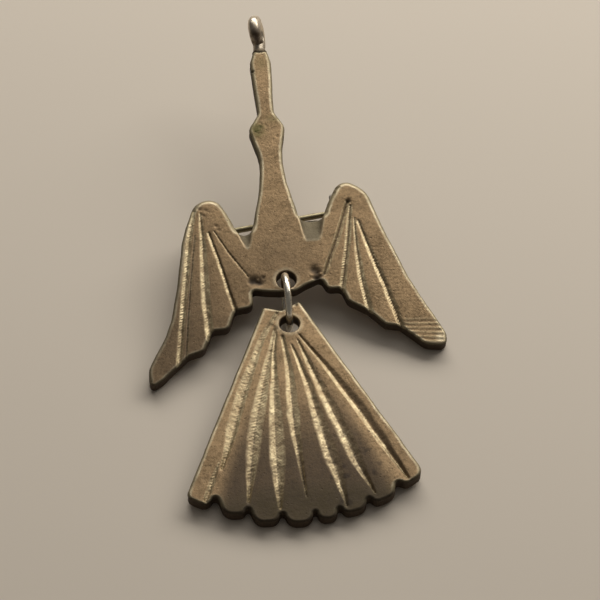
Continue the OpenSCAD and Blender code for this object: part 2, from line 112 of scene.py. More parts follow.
TAIL_GROOVES = [
    dict(path=[(-1.5, 2.2), (-4.1, -2.3), (-7.3, -10.6), (-10.1, -19.3), (-11.3, -22.7)],
         left=(0.3, 0.6, 0.98, 1.15, 0.3), right=(0.3, 0.5, 0.62, 0.62, 0.2), depth=(0.14, 0.32),
         chatter=0.5, pitch=0.45, slant=0.8, lit=(0.8, 1.0), slit=0.25),
    dict(path=[(-11.5, -21.4), (-12.8, -24.6), (-13.9, -27.4)],
         left=(0.08, 0.5, 0.42), right=(0.08, 0.48, 0.42), depth=(0.1, 0.28),
         chatter=0.5, pitch=0.45, slant=0.8, lit=(0.7, 0.7), slit=0.2),
    dict(path=[(-1.9, -0.2), (-3.8, -6.9), (-6.4, -17.2), (-7.6, -24.0), (-8.3, -28.2)],
         left=(0.24, 0.6, 1.02, 1.0, 0.25), right=(0.24, 0.58, 0.95, 0.98, 0.2), depth=(0.14, 0.32),
         chatter=0.55, pitch=0.5, slant=0.8, lit=(0.9, 0.95), slit=0.35),
    dict(path=[(-2.0, -1.2), (-2.6, -4.4), (-3.3, -12.3), (-3.9, -22.5), (-4.2, -29.5)],
         left=(0.22, 0.48, 0.88, 1.08, 0.3), right=(0.22, 0.48, 1.02, 1.18, 0.3), depth=(0.14, 0.32),
         chatter=0.5, pitch=0.45, slant=0.9, lit=(1.0, 0.85), slit=0.3),
    dict(path=[(-1.2, -1.8), (-0.8, -7.2), (-1.0, -17.7), (-0.6, -28.2)],
         left=(0.3, 0.6, 0.95, 0.5, 0.12), right=(0.3, 0.58, 0.88, 0.5, 0.12), depth=(0.16, 0.32),
         chatter=0.5, pitch=0.43, slant=0.8, lit=(0.95, 0.85), slit=0.55),
    dict(path=[(-0.1, -3.4), (1.5, -10.1), (2.7, -18.1), (4.1, -25.8), (4.6, -30.0)],
         left=(0.2, 0.62, 1.0, 1.12, 0.25), right=(0.2, 0.56, 0.86, 1.05, 0.2), depth=(0.14, 0.33),
         chatter=0.45, pitch=0.43, slant=0.8, lit=(1.0, 0.45), slit=0.3),
    dict(path=[(0.8, -2.6), (3.0, -10.3), (5.1, -17.0), (6.9, -23.6), (8.5, -28.4)],
         left=(0.2, 0.62, 1.08, 1.04, 0.2), right=(0.2, 0.56, 0.92, 0.88, 0.15), depth=(0.14, 0.33),
         chatter=0.4, pitch=0.43, slant=0.8, lit=(1.0, 0.4), slit=0.25),
    dict(path=[(1.0, -1.8), (4.0, -7.2), (7.6, -14.2), (10.6, -20.9), (13.1, -26.5)],
         left=(0.2, 0.45, 0.65, 0.7, 0.2), right=(0.25, 0.6, 1.0, 0.95, 0.3), depth=(0.14, 0.34),
         chatter=0.3, pitch=0.43, slant=0.8, lit=(1.0, 0.0), slit=0.0),
]

# Dents (x, y, radius, depth) that the pattern left in the castings; a negative
# depth stands proud.
BIRD_DENTS = [
    (-4.5, 0.2, 0.75, 0.6), (-3.7, -0.1, 0.5, 0.4), (-4.05, 0.25, 0.17, -0.45),
    (-3.2, 0.6, 0.26, 0.2), (4.2, 1.1, 0.8, 0.55), (3.7, 0.45, 0.25, -0.3),
    (4.95, 0.6, 0.2, -0.34), (4.5, -0.1, 0.6, 0.5), (4.25, 1.15, 0.2, -0.2), (-1.65, 35.9, 0.24, 0.5),
    (-12.4, 13.0, 0.34, 0.25), (-11.3, 12.5, 0.3, 0.16), (-10.5, 12.3, 0.3, 0.12),
    (-10.9, 11.5, 0.3, 0.12), (-9.2, 9.6, 0.3, 0.14), (-8.8, 8.9, 0.24, 0.12),
    (8.7, 14.8, 0.35, 0.2), (9.3, 14.9, 0.22, -0.12), (8.2, 14.0, 0.3, 0.14),
    (10.2, 12.4, 0.26, 0.2), (-1.3, 26.0, 0.22, 0.14), (-0.9, 26.7, 0.2, -0.08),
    (-7.5, -4.2, 0.28, 0.2), (1.0, 24.2, 0.2, 0.08), (5.2, 0.4, 0.3, 0.2),
]
TAIL_DENTS = [
    (1.6, 3.5, 0.3, -0.14), (1.2, 3.1, 0.25, 0.16), (3.4, 1.0, 0.2, 0.1),
    (-1.3, -1.4, 0.24, 0.2), (2.9, -18.4, 0.3, 0.05), (4.2, -19.2, 0.24, 0.06),
    (3.6, -23.2, 0.34, 0.06), (4.1, -23.6, 0.2, 0.07), (-13.6, -24.2, 0.5, 0.05),
    (1.2, -16.0, 0.3, 0.04), (-2.0, 1.0, 0.3, 0.08), (-2.6, 0.0, 0.3, 0.08),
]


# ---- small tools ------------------------------------------------------------

def lattice(ix, iy, seed):
    """A repeatable number from 0 to 1 for each whole-number place."""
    h = (ix.astype(np.int64) * 374761393 + iy.astype(np.int64) * 668265263
         + seed * 974634777) & 0x7FFFFFFF
    h = ((h ^ (h >> 13)) * 1274126177) & 0x7FFFFFFF
    return ((h ^ (h >> 16)) & 0xFFFF) / 65535.0


def waves(x, y, cell, seed):
    """Smooth unevenness from -1 to 1 with hills about one cell across."""
    gx, gy = np.asarray(x) / cell, np.asarray(y) / cell
    ix, iy = np.floor(gx), np.floor(gy)
    fx, fy = gx - ix, gy - iy
    fx, fy = fx * fx * (3 - 2 * fx), fy * fy * (3 - 2 * fy)
    low = lattice(ix, iy, seed) * (1 - fx) + lattice(ix + 1, iy, seed) * fx
    high = lattice(ix, iy + 1, seed) * (1 - fx) + lattice(ix + 1, iy + 1, seed) * fx
    return 2 * (low * (1 - fy) + high * fy) - 1


def smooth(a, b, x):
    t = np.clip((x - a) / (b - a), 0, 1)
    return t * t * (3 - 2 * t)


def resample(loop, step):
    """Even points, about step apart, round a closed outline."""
    ring = np.vstack([loop, loop[:1]])
    along = np.r_[0, np.cumsum(np.hypot(*np.diff(ring, axis=0).T))]
    count = max(24, int(round(along[-1] / step)))
    at = np.linspace(0, along[-1], count, endpoint=False)
    return np.column_stack([np.interp(at, along, ring[:, i]) for i in (0, 1)])


def soften(loop, reach):
    """Rounds an outline slightly: each point moves to the mean of its neighbours."""
    weights = np.hanning(2 * reach + 3)[1:-1]
    weights /= weights.sum()
    shifted = [np.roll(loop, k, axis=0) * w for k, w in zip(range(-reach, reach + 1), weights)]
    return np.sum(shifted, axis=0)


def outward(loop):
    """Unit normals that point out of a counter-clockwise outline."""
    run = np.roll(loop, -1, axis=0) - np.roll(loop, 1, axis=0)
    normal = np.column_stack([run[:, 1], -run[:, 0]])
    return normal / np.linalg.norm(normal, axis=1)[:, None]


def loop_area(loop):
    x, y = loop.T
    return 0.5 * np.sum(x * np.roll(y, -1) - np.roll(x, -1) * y)


class Loops:
    """Distances from points to a set of closed outlines."""

    def __init__(self, *loops):
        self.points = np.vstack(loops)
        self.before, self.after, self.side = [], [], []
        for k, loop in enumerate(loops):
            self.before.append(np.roll(loop, 1, axis=0))
            self.after.append(np.roll(loop, -1, axis=0))
            self.side.append(-outward(loop) if loop_area(loop) > 0 else outward(loop[::-1])[::-1])
        self.before, self.after, self.side = map(np.vstack, (self.before, self.after, self.side))
        self.tree = kdtree.KDTree(len(self.points))
        for i, (x, y) in enumerate(self.points):
            self.tree.insert((x, y, 0), i)
        self.tree.balance()

    def nearest(self, pts):
        """Distance to the outlines, the nearest outline point, and whether inside."""
        found = np.array([self.tree.find((x, y, 0))[1] for x, y in pts])
        home = self.points[found]
        best = np.full(len(pts), np.inf)
        for other in (self.before[found], self.after[found]):
            run = other - home
            t = np.clip(np.sum((pts - home) * run, 1) / np.sum(run * run, 1), 0, 1)
            best = np.minimum(best, np.hypot(*(home + run * t[:, None] - pts).T))
        inside = np.sum((pts - home) * self.side[found], 1) > 0
        return best, found, inside


def mesh_arrays(node):
    """Vertices in millimetres and triangles of a CAD node, with equal points joined."""
    mesh = node.data
    mesh.calc_loop_triangles()
    co = np.empty(3 * len(mesh.vertices))
    mesh.vertices.foreach_get("co", co)
    tri = np.empty(3 * len(mesh.loop_triangles), dtype=np.int32)
    mesh.loop_triangles.foreach_get("vertices", tri)
    keys, back = np.unique(np.round(co.reshape(-1, 3) / MM, 4), axis=0, return_inverse=True)
    tri = back.reshape(-1)[tri].reshape(-1, 3)
    keep = (tri[:, 0] != tri[:, 1]) & (tri[:, 1] != tri[:, 2]) & (tri[:, 0] != tri[:, 2])
    return keys, tri[keep]


class Plate:
    """The plane, thickness, outline and ring hole of a flat casting, from its CAD node."""

    def __init__(self, node):
        co, tri = mesh_arrays(node)
        cross = np.cross(co[tri[:, 1]] - co[tri[:, 0]], co[tri[:, 2]] - co[tri[:, 0]])
        area = np.linalg.norm(cross, axis=1) / 2
        normal = cross / np.maximum(2 * area, 1e-12)[:, None]
        up = normal[:, 2] > 0.8
        kinds, which = np.unique(np.round(normal[up], 3), axis=0, return_inverse=True)
        widest = np.argmax(np.bincount(which.reshape(-1), area[up]))
        group = which.reshape(-1) == widest
        n = np.average(normal[up][group], axis=0, weights=area[up][group])
        self.n = n / np.linalg.norm(n)
        u = np.array([self.n[2], 0, -self.n[0]])
        self.u = u / np.linalg.norm(u)
        self.v = np.cross(self.n, self.u)
        height = co @ self.n
        self.front = np.median(height[tri[up][group]])
        flat = (normal @ self.n < -0.9995)
        self.back = np.median(height[tri[flat]])
        flat &= np.abs(height[tri].mean(1) - self.back) < 0.01
        self.thick = self.front - self.back
        flat_co = np.column_stack([co @ self.u, co @ self.v])
        loops = self.edge_loops(flat_co, tri[flat])
        outer = loops[0]
        hole = loops[1]
        self.centre = (hole.max(0) + hole.min(0)) / 2
        reach = np.hypot(*(flat_co - self.centre).T)
        self.hole_r = reach.min()
        self.outline = outer - self.centre
        if loop_area(self.outline) < 0:
            self.outline = self.outline[::-1]

    @staticmethod
    def edge_loops(co, tri):
        """The closed edges of a patch of triangles, the longest first."""
        edges = np.vstack([tri[:, [0, 1]], tri[:, [1, 2]], tri[:, [2, 0]]])
        there = {tuple(e) for e in edges}
        step = {a: b for a, b in there if (b, a) not in there}
        loops = []
        while step:
            start, at = next(iter(step.items()))
            ring = [start]
            del step[start]
            while at != start:
                ring.append(at)
                at = step.pop(at)
            loops.append(co[ring])
        return sorted(loops, key=lambda r: -np.ptp(r, axis=0).sum())

    def world(self, pts):
        """Plane points (x, y, z) as metres in the frame."""
        flat = pts[:, :2] + self.centre
        z = pts[:, 2] + self.front
        return (flat[:, :1] * self.u + flat[:, 1:2] * self.v + z[:, None] * self.n) * MM


def groove_places(groove, pts):
    """Signed distance across a groove, distance along it, and its length."""
    path = np.array(groove["path"], float)
    best = np.full(len(pts), 1e9)
    across = np.zeros(len(pts))
    along = np.zeros(len(pts))
    done = 0.0
    for a, b in zip(path[:-1], path[1:]):
        run = b - a
        length = np.hypot(*run)
        t = np.clip(((pts - a) @ run) / length ** 2, 0, 1)
        gap = pts - (a + t[:, None] * run)
        dist = np.hypot(*gap.T)
        side = np.sign(run[0] * gap[:, 1] - run[1] * gap[:, 0])
        closer = dist < best
        best = np.where(closer, dist, best)
        across = np.where(closer, dist * side, across)
        along = np.where(closer, done + t * length, along)
        done += length
    return across, along, done


def spread(widths, t):
    return np.interp(t, np.linspace(0, 1, len(widths)), widths)


def groove_depths(grooves, pts, wide=1.0):
    """How deep the grooves cut at each point, their clean metal with a painted highlight on the lit slopes, and
    their dark bottoms with painted shade on an unlit slope.
    """
    depth = np.zeros(len(pts))
    cut = np.zeros(len(pts))
    slit = np.zeros(len(pts))
    for k, g in enumerate(grooves):
        path = np.array(g["path"])
        reach = 2.0
        idx = np.flatnonzero(np.all((pts > path.min(0) - reach) & (pts < path.max(0) + reach), axis=1))
        p = pts[idx]
        across, along, length = groove_places(g, p)
        t = along / length
        still = along * 0
        off = across + 0.025 * waves(along, still, 2.6, 31 + k) + 0.012 * waves(along, still, 0.7, 61 + k)
        uneven = 1 + 0.08 * waves(along, still, 1.9, 91 + k)
        left, right = spread(g["left"], t) * uneven * wide, spread(g["right"], t) * uneven * wide
        q = np.where(off < 0, -off / left, off / right)
        deep = (g["depth"][0] + (g["depth"][1] - g["depth"][0]) * t)
        deep = deep * np.clip((left + right) / 0.5, 0.3, 1.15)
        soft = 0.5 + 0.5 * np.cos(np.pi * np.clip(q, 0, 1))
        crisp = 1 - np.clip(q, 0, 1) ** 1.25
        profile = np.where(off < 0, 0.45 * soft + 0.55 * crisp, 0.2 * soft + 0.8 * crisp)
        phase = (along + g["slant"] * off) / g["pitch"] + 0.3 * waves(along, off, 0.8, 7 + k)
        tooth = 0.5 + 0.5 * np.cos(2 * np.pi * phase)
        strength = g["chatter"] * (0.7 + 0.4 * waves(along, off, 1.1, 17 + k))
        ends = smooth(-0.02, 0.3, along)
        mound = np.where(q < 1, (1 - q * q), 0) * strength * tooth
        here = deep * profile * ends - 0.11 * mound * np.clip(deep / 0.2, 0, 1) * ends
        line = np.exp(-((off / 0.09) ** 2)) * g["slit"] * (0.55 + 0.45 * (1 - tooth)) * ends
        here = here + 0.08 * line
        gritty = waves(p[:, 0], p[:, 1], 0.26, 131 + k) + 0.6 * waves(p[:, 0], p[:, 1], 0.6, 151 + k)
        here = here + 0.03 * gritty * (q < 1) * (1 - q * q) * ends
        crown = 0.2 * deep * np.exp(-(off / (1.9 * np.maximum(left, right))) ** 2) * ends
        depth[idx] = np.maximum(depth[idx], np.maximum(here, 0) + crown)
        # how bright each slope is painted: clean cut metal plus a painted highlight on the slope that faces the
        # light
        side = np.where(off < 0, g["lit"][0], g["lit"][1])
        bright = side * (1 - smooth(0.72, 1.12, q)) * ends
        bright = bright * (0.62 + 0.3 * tooth * g["chatter"] - 0.3 * gritty)
        bright = bright * (1 - 0.85 * np.clip(line, 0, 1))
        cut[idx] = np.maximum(cut[idx], bright)
        slit[idx] = np.maximum(slit[idx], line)
        # painted shade on a slope that faces away from the light, added to the dark bottom line
        shade = (g["lit"][1] < 0.1) * smooth(0.0, 0.25, off) * (1 - smooth(0.8, 1.05, q))
        slit[idx] = np.maximum(slit[idx], 0.45 * shade * smooth(0.1, 0.5, t))
    return depth, np.clip(cut, 0, 1), np.clip(slit, 0, 1)


def dent_depths(dents, pts):
    depth = np.zeros(len(pts))
    for x, y, r, d in dents:
        gap = np.hypot(pts[:, 0] - x, pts[:, 1] - y) / r
        lump = 0.8 + 0.4 * waves(pts[:, 0], pts[:, 1], r, int(1000 + x * 37 + y * 91))
        depth += d * np.exp(-(gap ** 2) * 1.4) * lump
    return depth


def round_over(d, r):
    """How far a rounded edge of radius r falls at distance d from the edge."""
    inside = np.clip(r - d, 0, r)
    return r - np.sqrt(np.maximum(r * r - inside * inside, 0))


def groove_points(groove, spacing):
    """Extra mesh points that follow a groove, so that its chatter is modelled."""
    path = np.array(groove["path"], float)
    lengths = np.hypot(*np.diff(path, axis=0).T)
    along = np.r_[0, np.cumsum(lengths)]
    at = np.arange(0, along[-1], spacing)
    mid = np.column_stack([np.interp(at, along, path[:, i]) for i in (0, 1)])
    run = np.gradient(mid, axis=0)
    run /= np.linalg.norm(run, axis=1)[:, None]
    side = np.column_stack([-run[:, 1], run[:, 0]])
    t = at / along[-1]
    rows = []
    for k, share in enumerate(np.linspace(-1.1, 1.1, 11)):
        shift = (k % 2) * 0.5 * spacing
        half = spread(groove["right" if share > 0 else "left"], t)
        rows.append(mid + side * (half * share)[:, None] + run * shift)
    return np.vstack(rows)


def inside_loop(loop, pts):
    """Which points lie inside a closed outline."""
    near = np.flatnonzero(np.all((pts > loop.min(0)) & (pts < loop.max(0)), axis=1))
    x, y = pts[near].T
    odd = np.zeros(len(near), bool)
    for (ax, ay), (bx, by) in zip(loop, np.roll(loop, -1, axis=0)):
        if ay != by:
            odd ^= ((ay > y) != (by > y)) & (x < ax + (y - ay) * (bx - ax) / (by - ay))
    inside = np.zeros(len(pts), bool)
    inside[near] = odd
    return inside


def triangulate(outer, hole, loose):
    """Triangles between the outline and the hole, through all the loose points."""
    pts = np.vstack([outer, hole, loose])
    n_outer, n_hole = len(outer), len(hole)
    edges = [(n_outer + i, n_outer + (i + 1) % n_hole) for i in range(n_hole)]
    verts, _, faces, origin, _, _ = geometry.delaunay_2d_cdt(
        [Vector(p) for p in pts], edges, [list(range(n_outer))], 1, 1e-7)
    flat = np.array([v[:] for v in verts])
    faces = np.array(faces)
    faces = faces[~inside_loop(hole, flat[faces].mean(1))]
    place = {}
    for new, old in enumerate(origin):
        for o in old:
            place[o] = new
    rim = [place[i] for i in range(n_outer)]
    eye = [place[n_outer + i] for i in range(n_hole)]
    return flat, faces, rim, eye


def thin_out(pts, cell):
    """Drops points that share a cell with an earlier one."""
    keys = np.floor(pts / cell).astype(np.int64)
    _, first = np.unique(keys, axis=0, return_index=True)
    return pts[np.sort(first)]


def add_floats(mesh, **fields):
    """Stores one value per vertex for the materials to read."""
    for name, values in fields.items():
        layer = mesh.attributes.new(name, "FLOAT", "POINT")
        layer.data.foreach_set("value", np.asarray(values, dtype=np.float32))


def new_piece(name, verts, faces, body, slot, *replaced):
    """A smooth-shaded mesh piece that rides on a body."""
    mesh = bpy.data.meshes.new(name)
    mesh.from_pydata([tuple(v) for v in verts], [], [tuple(int(i) for i in f) for f in faces])
    mesh.update()
    mesh.polygons.foreach_set("use_smooth", [True] * len(mesh.polygons))
    piece = bpy.data.objects.new(name, mesh)
    bpy.context.scene.collection.objects.link(piece)
    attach(piece, body)
    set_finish(piece, slot)
    if replaced:
        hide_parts(*replaced)
    return piece


# ---- castings ---------------------------------------------------------------

def build_casting(name, node_name, body, slot, grooves, dents, sizes, extra, seed, wider=None,
                  low_edge_shade=0.4, wide=1.0):
    """A cast plate with rounded edges, chattered grooves, dents and a drilled hole."""
    plate = Plate(NODES[node_name])
    edge_r = sizes.edge_radius / MM
    back_r = sizes.back_radius / MM
    step = sizes.mesh_step / MM
    hole_lip = 0.24

    outer = soften(resample(plate.outline, 0.05), 5)
    s = np.arange(len(outer)) * 0.05
    uneven = 0.03 * (waves(s, s * 0, 2.3, seed + 5) - 1) + 0.012 * (waves(s, s * 0, 0.7, seed + 6) - 1)
    outer = outer + outward(outer) * uneven[:, None]
    outer = resample(outer, 0.12)
    count = 84
    turn = 2 * np.pi * np.arange(count) / count
    hole_r = plate.hole_r * (1 + 0.012 * waves(np.arange(count), np.zeros(count), 7, seed + 8))
    hole = np.column_stack([np.cos(turn), np.sin(turn)]) * hole_r[:, None]

    outlines = Loops(outer, hole[::-1])
    rim_only = Loops(outer)
    n_outer = len(outer)
    inward = -outward(outer)
    shares = [0.034, 0.134, 0.293, 0.5, 0.741, 1.0, 1.3]
    rings = []
    for k, share in enumerate(shares):
        ring = outer + inward * edge_r * share
        if k % 2:
            ring = (ring + np.roll(ring, -1, axis=0)) / 2
        gap, _, ok = rim_only.nearest(ring)
        rings.append(ring[ok & (gap > edge_r * share * 0.97)])
    for share in (0.1, 0.35, 0.7, 1.05):
        rings.append(hole * ((plate.hole_r + hole_lip * share) / plate.hole_r))
    rings = np.vstack(rings)

    cuts = np.vstack([groove_points(g, 0.1) for g in grooves])
    low, high = outer.min(0), outer.max(0)
    gx = np.arange(low[0], high[0], step)
    gy = np.arange(low[1], high[1], step * 0.87)
    mx, my = np.meshgrid(gx, gy)
    mx = mx + (np.arange(len(gy)) % 2)[:, None] * step / 2
    filler = np.column_stack([mx.ravel(), my.ravel()])
    close = np.zeros(len(filler), bool)
    for g in grooves:
        path = np.array(g["path"])
        near = np.all((filler > path.min(0) - 1) & (filler < path.max(0) + 1), axis=1)
        idx = np.flatnonzero(near)
        across, along, length = groove_places(g, filler[idx])
        t = along / length
        near = np.where(across < 0, spread(g["left"], t), spread(g["right"], t))
        close[idx[np.abs(across) < near * 1.05]] = True
    filler = filler[~close]
    loose = thin_out(np.vstack([cuts, filler]), 0.06)
    gap, _, ok = outlines.nearest(loose)
    loose = loose[ok & (gap > edge_r * 1.42) & (np.hypot(*loose.T) > plate.hole_r + hole_lip * 1.2)]
    rings = rings[rim_only.nearest(rings)[2]]
    flat, faces, rim, eye = triangulate(outer, hole, np.vstack([rings, loose]))

    gap, nearest, _ = rim_only.nearest(flat)
    facing_down = smooth(0.1, 0.9, rim_only.side[nearest][:, 1])
    eye_gap = np.maximum(np.hypot(*flat.T) - plate.hole_r, 0)
    gap[rim] = 0
    eye_gap[eye] = 0
    x, y = flat.T
    radius = edge_r * (1 + 0.12 * waves(x, y, 3.1, seed + 11) + 0.06 * waves(x, y, 0.9, seed + 12))
    radius = radius * (1 - 0.4 * facing_down)
    radius = radius * (1 + wider(x, y)) if wider else radius
    fall = round_over(gap, radius)
    fall = np.maximum(fall, round_over(eye_gap, hole_lip))
    groove, cut, slit = groove_depths(grooves, flat, wide)
    inner = smooth(0, 0.5, gap)
    dent = dent_depths(dents, flat)
    grain = 0.016 * waves(x, y, 2.7, seed + 21) + 0.006 * waves(x, y, 0.8, seed + 22)
    grain = grain + 0.0035 * waves(x, y, 0.34, seed + 23)
    z = -fall - groove - dent * smooth(0, 0.25, gap) + (grain - 0.02) * inner
    # a bright band along the crest of each rounded edge: rubbed metal, and a painted highlight where the edge
    # catches the light
    rub_and_sheen = np.exp(-((gap - radius * 0.85) / 0.13) ** 2)
    rub_and_sheen *= 0.7 + 0.35 * waves(x, y, 1.9, seed + 31) + 0.25 * waves(x, y, 0.5, seed + 32)
    # edges that face down, away from the light, get less painted highlight
    rub_and_sheen = rub_and_sheen * (1 - 0.75 * facing_down * low_edge_shade)
    rub_and_sheen = np.maximum(rub_and_sheen * (1 - smooth(0.02, 0.2, groove)), 0.7 * np.exp(-((eye_gap - 0.2) / 0.09) ** 2))
    dark = np.clip(dent * 2.6, 0, 1) + slit * 0.9
    # painted shade on the rounded edges that face down, away from the light
    dark = dark + 0.55 * facing_down * (1 - smooth(0.1, radius * 1.0, gap)) * low_edge_shade
    # painted shade at the lip of the hole
    dark += 0.7 * np.exp(-(eye_gap / 0.08) ** 2)
    stain = np.zeros(len(flat))
    z, rub_and_sheen, cut, dark, stain, web = extra(flat, z, rub_and_sheen, cut, dark, stain)
    z = np.maximum(z, 0.1 - plate.thick)

    # the back, plainer, with fewer points
    back_rings = [outer + inward * back_r * share for share in (0.06, 0.293, 0.62, 1.0)]
    back_rings = [r[(lambda g: g[2] & (g[0] > back_r * sh * 0.95))(rim_only.nearest(r))]
                  for r, sh in zip(back_rings, (0.06, 0.293, 0.62, 1.0))]
    eyes = [hole * ((plate.hole_r + hole_lip * share) / plate.hole_r) for share in (0.2, 0.6, 1.0)]
    bx, by = np.meshgrid(np.arange(low[0], high[0], 0.45), np.arange(low[1], high[1], 0.39))
    bx = bx + (np.arange(bx.shape[0]) % 2)[:, None] * 0.225
    plain = np.column_stack([bx.ravel(), by.ravel()])
    g2, _, ok = outlines.nearest(plain)
    plain = plain[ok & (g2 > back_r * 1.5) & (np.hypot(*plain.T) > plate.hole_r + hole_lip * 1.5)]
    loose_back = np.vstack(back_rings + eyes + [plain])
    loose_back = loose_back[rim_only.nearest(loose_back)[2]]
    bflat, bfaces, brim, beye = triangulate(outer, hole, loose_back)
    bgap, _, _ = rim_only.nearest(bflat)
    beye_gap = np.maximum(np.hypot(*bflat.T) - plate.hole_r, 0)
    bgap[brim] = 0
    beye_gap[beye] = 0
    bfall = np.maximum(round_over(bgap, back_r), round_over(beye_gap, hole_lip))
    bx, by = bflat.T
    bz = -plate.thick + bfall + 0.012 * (1 + waves(bx, by, 2.1, seed + 41)) * smooth(0, 0.5, bgap)

    # the side walls, filed by hand: a few rows between the two rims
    rows = 5
    verts = [np.column_stack([flat, z]), np.column_stack([bflat, bz])]
    fields = dict(rub_and_sheen=[rub_and_sheen], cut=[cut], dark=[np.clip(dark, 0, 1)], stain=[stain],
                  # wall: the side walls are painted dark, as painted shade
                  wall=[1 - smooth(0.0, 0.08, gap)],
                  # rim: a painted sheen, lighter than the pewter, on the rounded edges and on the webs
                  rim=[np.maximum(1 - smooth(radius * 0.6, radius * 1.05, gap), web)])
    nb = len(bflat)
    back_rub = 0.5 * np.exp(-((bgap - back_r * 0.8) / (back_r * 0.5)) ** 2)
    for key, val in (("rub_and_sheen", back_rub), ("cut", np.zeros(nb)), ("dark", 0.25 + 0 * bgap),
                     ("stain", np.zeros(nb)), ("wall", 1 - smooth(0, back_r * 0.6, bgap)),
                     ("rim", 0 * bgap)):
        fields[key].append(val)
    all_faces = [faces, bfaces[:, ::-1] + len(flat)]
    base = len(flat) + nb
    offset_back = len(flat)
    for top, bottom, loop, way in ((rim, brim, outer, 1), (eye, beye, hole, -1)):
        n = len(loop)
        top, bottom = np.array(top), np.array(bottom) + offset_back
        z_top, z_low = z[top], np.concatenate([z, bz])[bottom]
        levels = [top]
        normal = outward(loop) * way
        arc = np.arange(n) * 0.12
        for k in range(1, rows):
            t = k / rows
            inset = 0.022 * (waves(arc, arc * 0 + k * 1.9, 0.5, seed + 51) - 1)
            inset += 0.02 * (waves(arc, arc * 0 + k * 0.5, 1.9, seed + 52) - 1)
            if way < 0:
                inset = inset * 0.3
            ring = loop + normal * inset[:, None]
            verts.append(np.column_stack([ring, z_top * (1 - t) + z_low * t]))
            # the side walls are painted dark as painted shade, those of the hole darkest
            for key, val in (("rub_and_sheen", 0.0), ("cut", 0.0), ("dark", 0.75), ("stain", 0.0), ("wall", 1.0),
                             ("rim", 0.0)):
                val = 1.0 if key == "dark" and way < 0 else val
                fields[key].append(np.full(n, val))
            levels.append(np.arange(base, base + n))
            base += n
        levels.append(bottom)
        for a, b in zip(levels[:-1], levels[1:]):
            an, bn = np.roll(a, -1), np.roll(b, -1)
            quads = np.column_stack([a, b, bn, an])
            all_faces.append(quads if way > 0 else quads[:, ::-1])
    points = plate.world(np.vstack(verts))
    faces_out = [f for block in all_faces for f in block.tolist()]
    piece = new_piece(name, points, faces_out, body, slot, node_name)
    add_floats(piece.data, **{k: np.clip(np.concatenate(v), 0, 1) for k, v in fields.items()})
    return piece


def bird_rims(x, y):
    """Where the bird's rounded edge is wider: at the shoulders and in the notches."""
    wide = 0.0
    for cx, cy, reach in ((-11.5, 13.5, 3.0), (-6.5, 8.0, 3.6), (8.8, 14.5, 4.0), (5.3, 8.0, 3.6)):
        wide = wide + 0.7 * np.exp(-((x - cx) ** 2 + (y - cy) ** 2) / reach ** 2)
    return np.minimum(wide, 0.8)


# Between the neck and each wing: two points on the neck's edge, two on the wing's,
# and how far up the web starts and ends.
NOTCHES = [
    ((-3.9, 9.6), (-4.6, 6.3), (-6.7, 9.9), (-5.5, 6.4), 5.5, 8.9),
    ((2.75, 11.0), (3.3, 6.9), (6.6, 11.0), (5.6, 6.9), 6.2, 10.6),
]


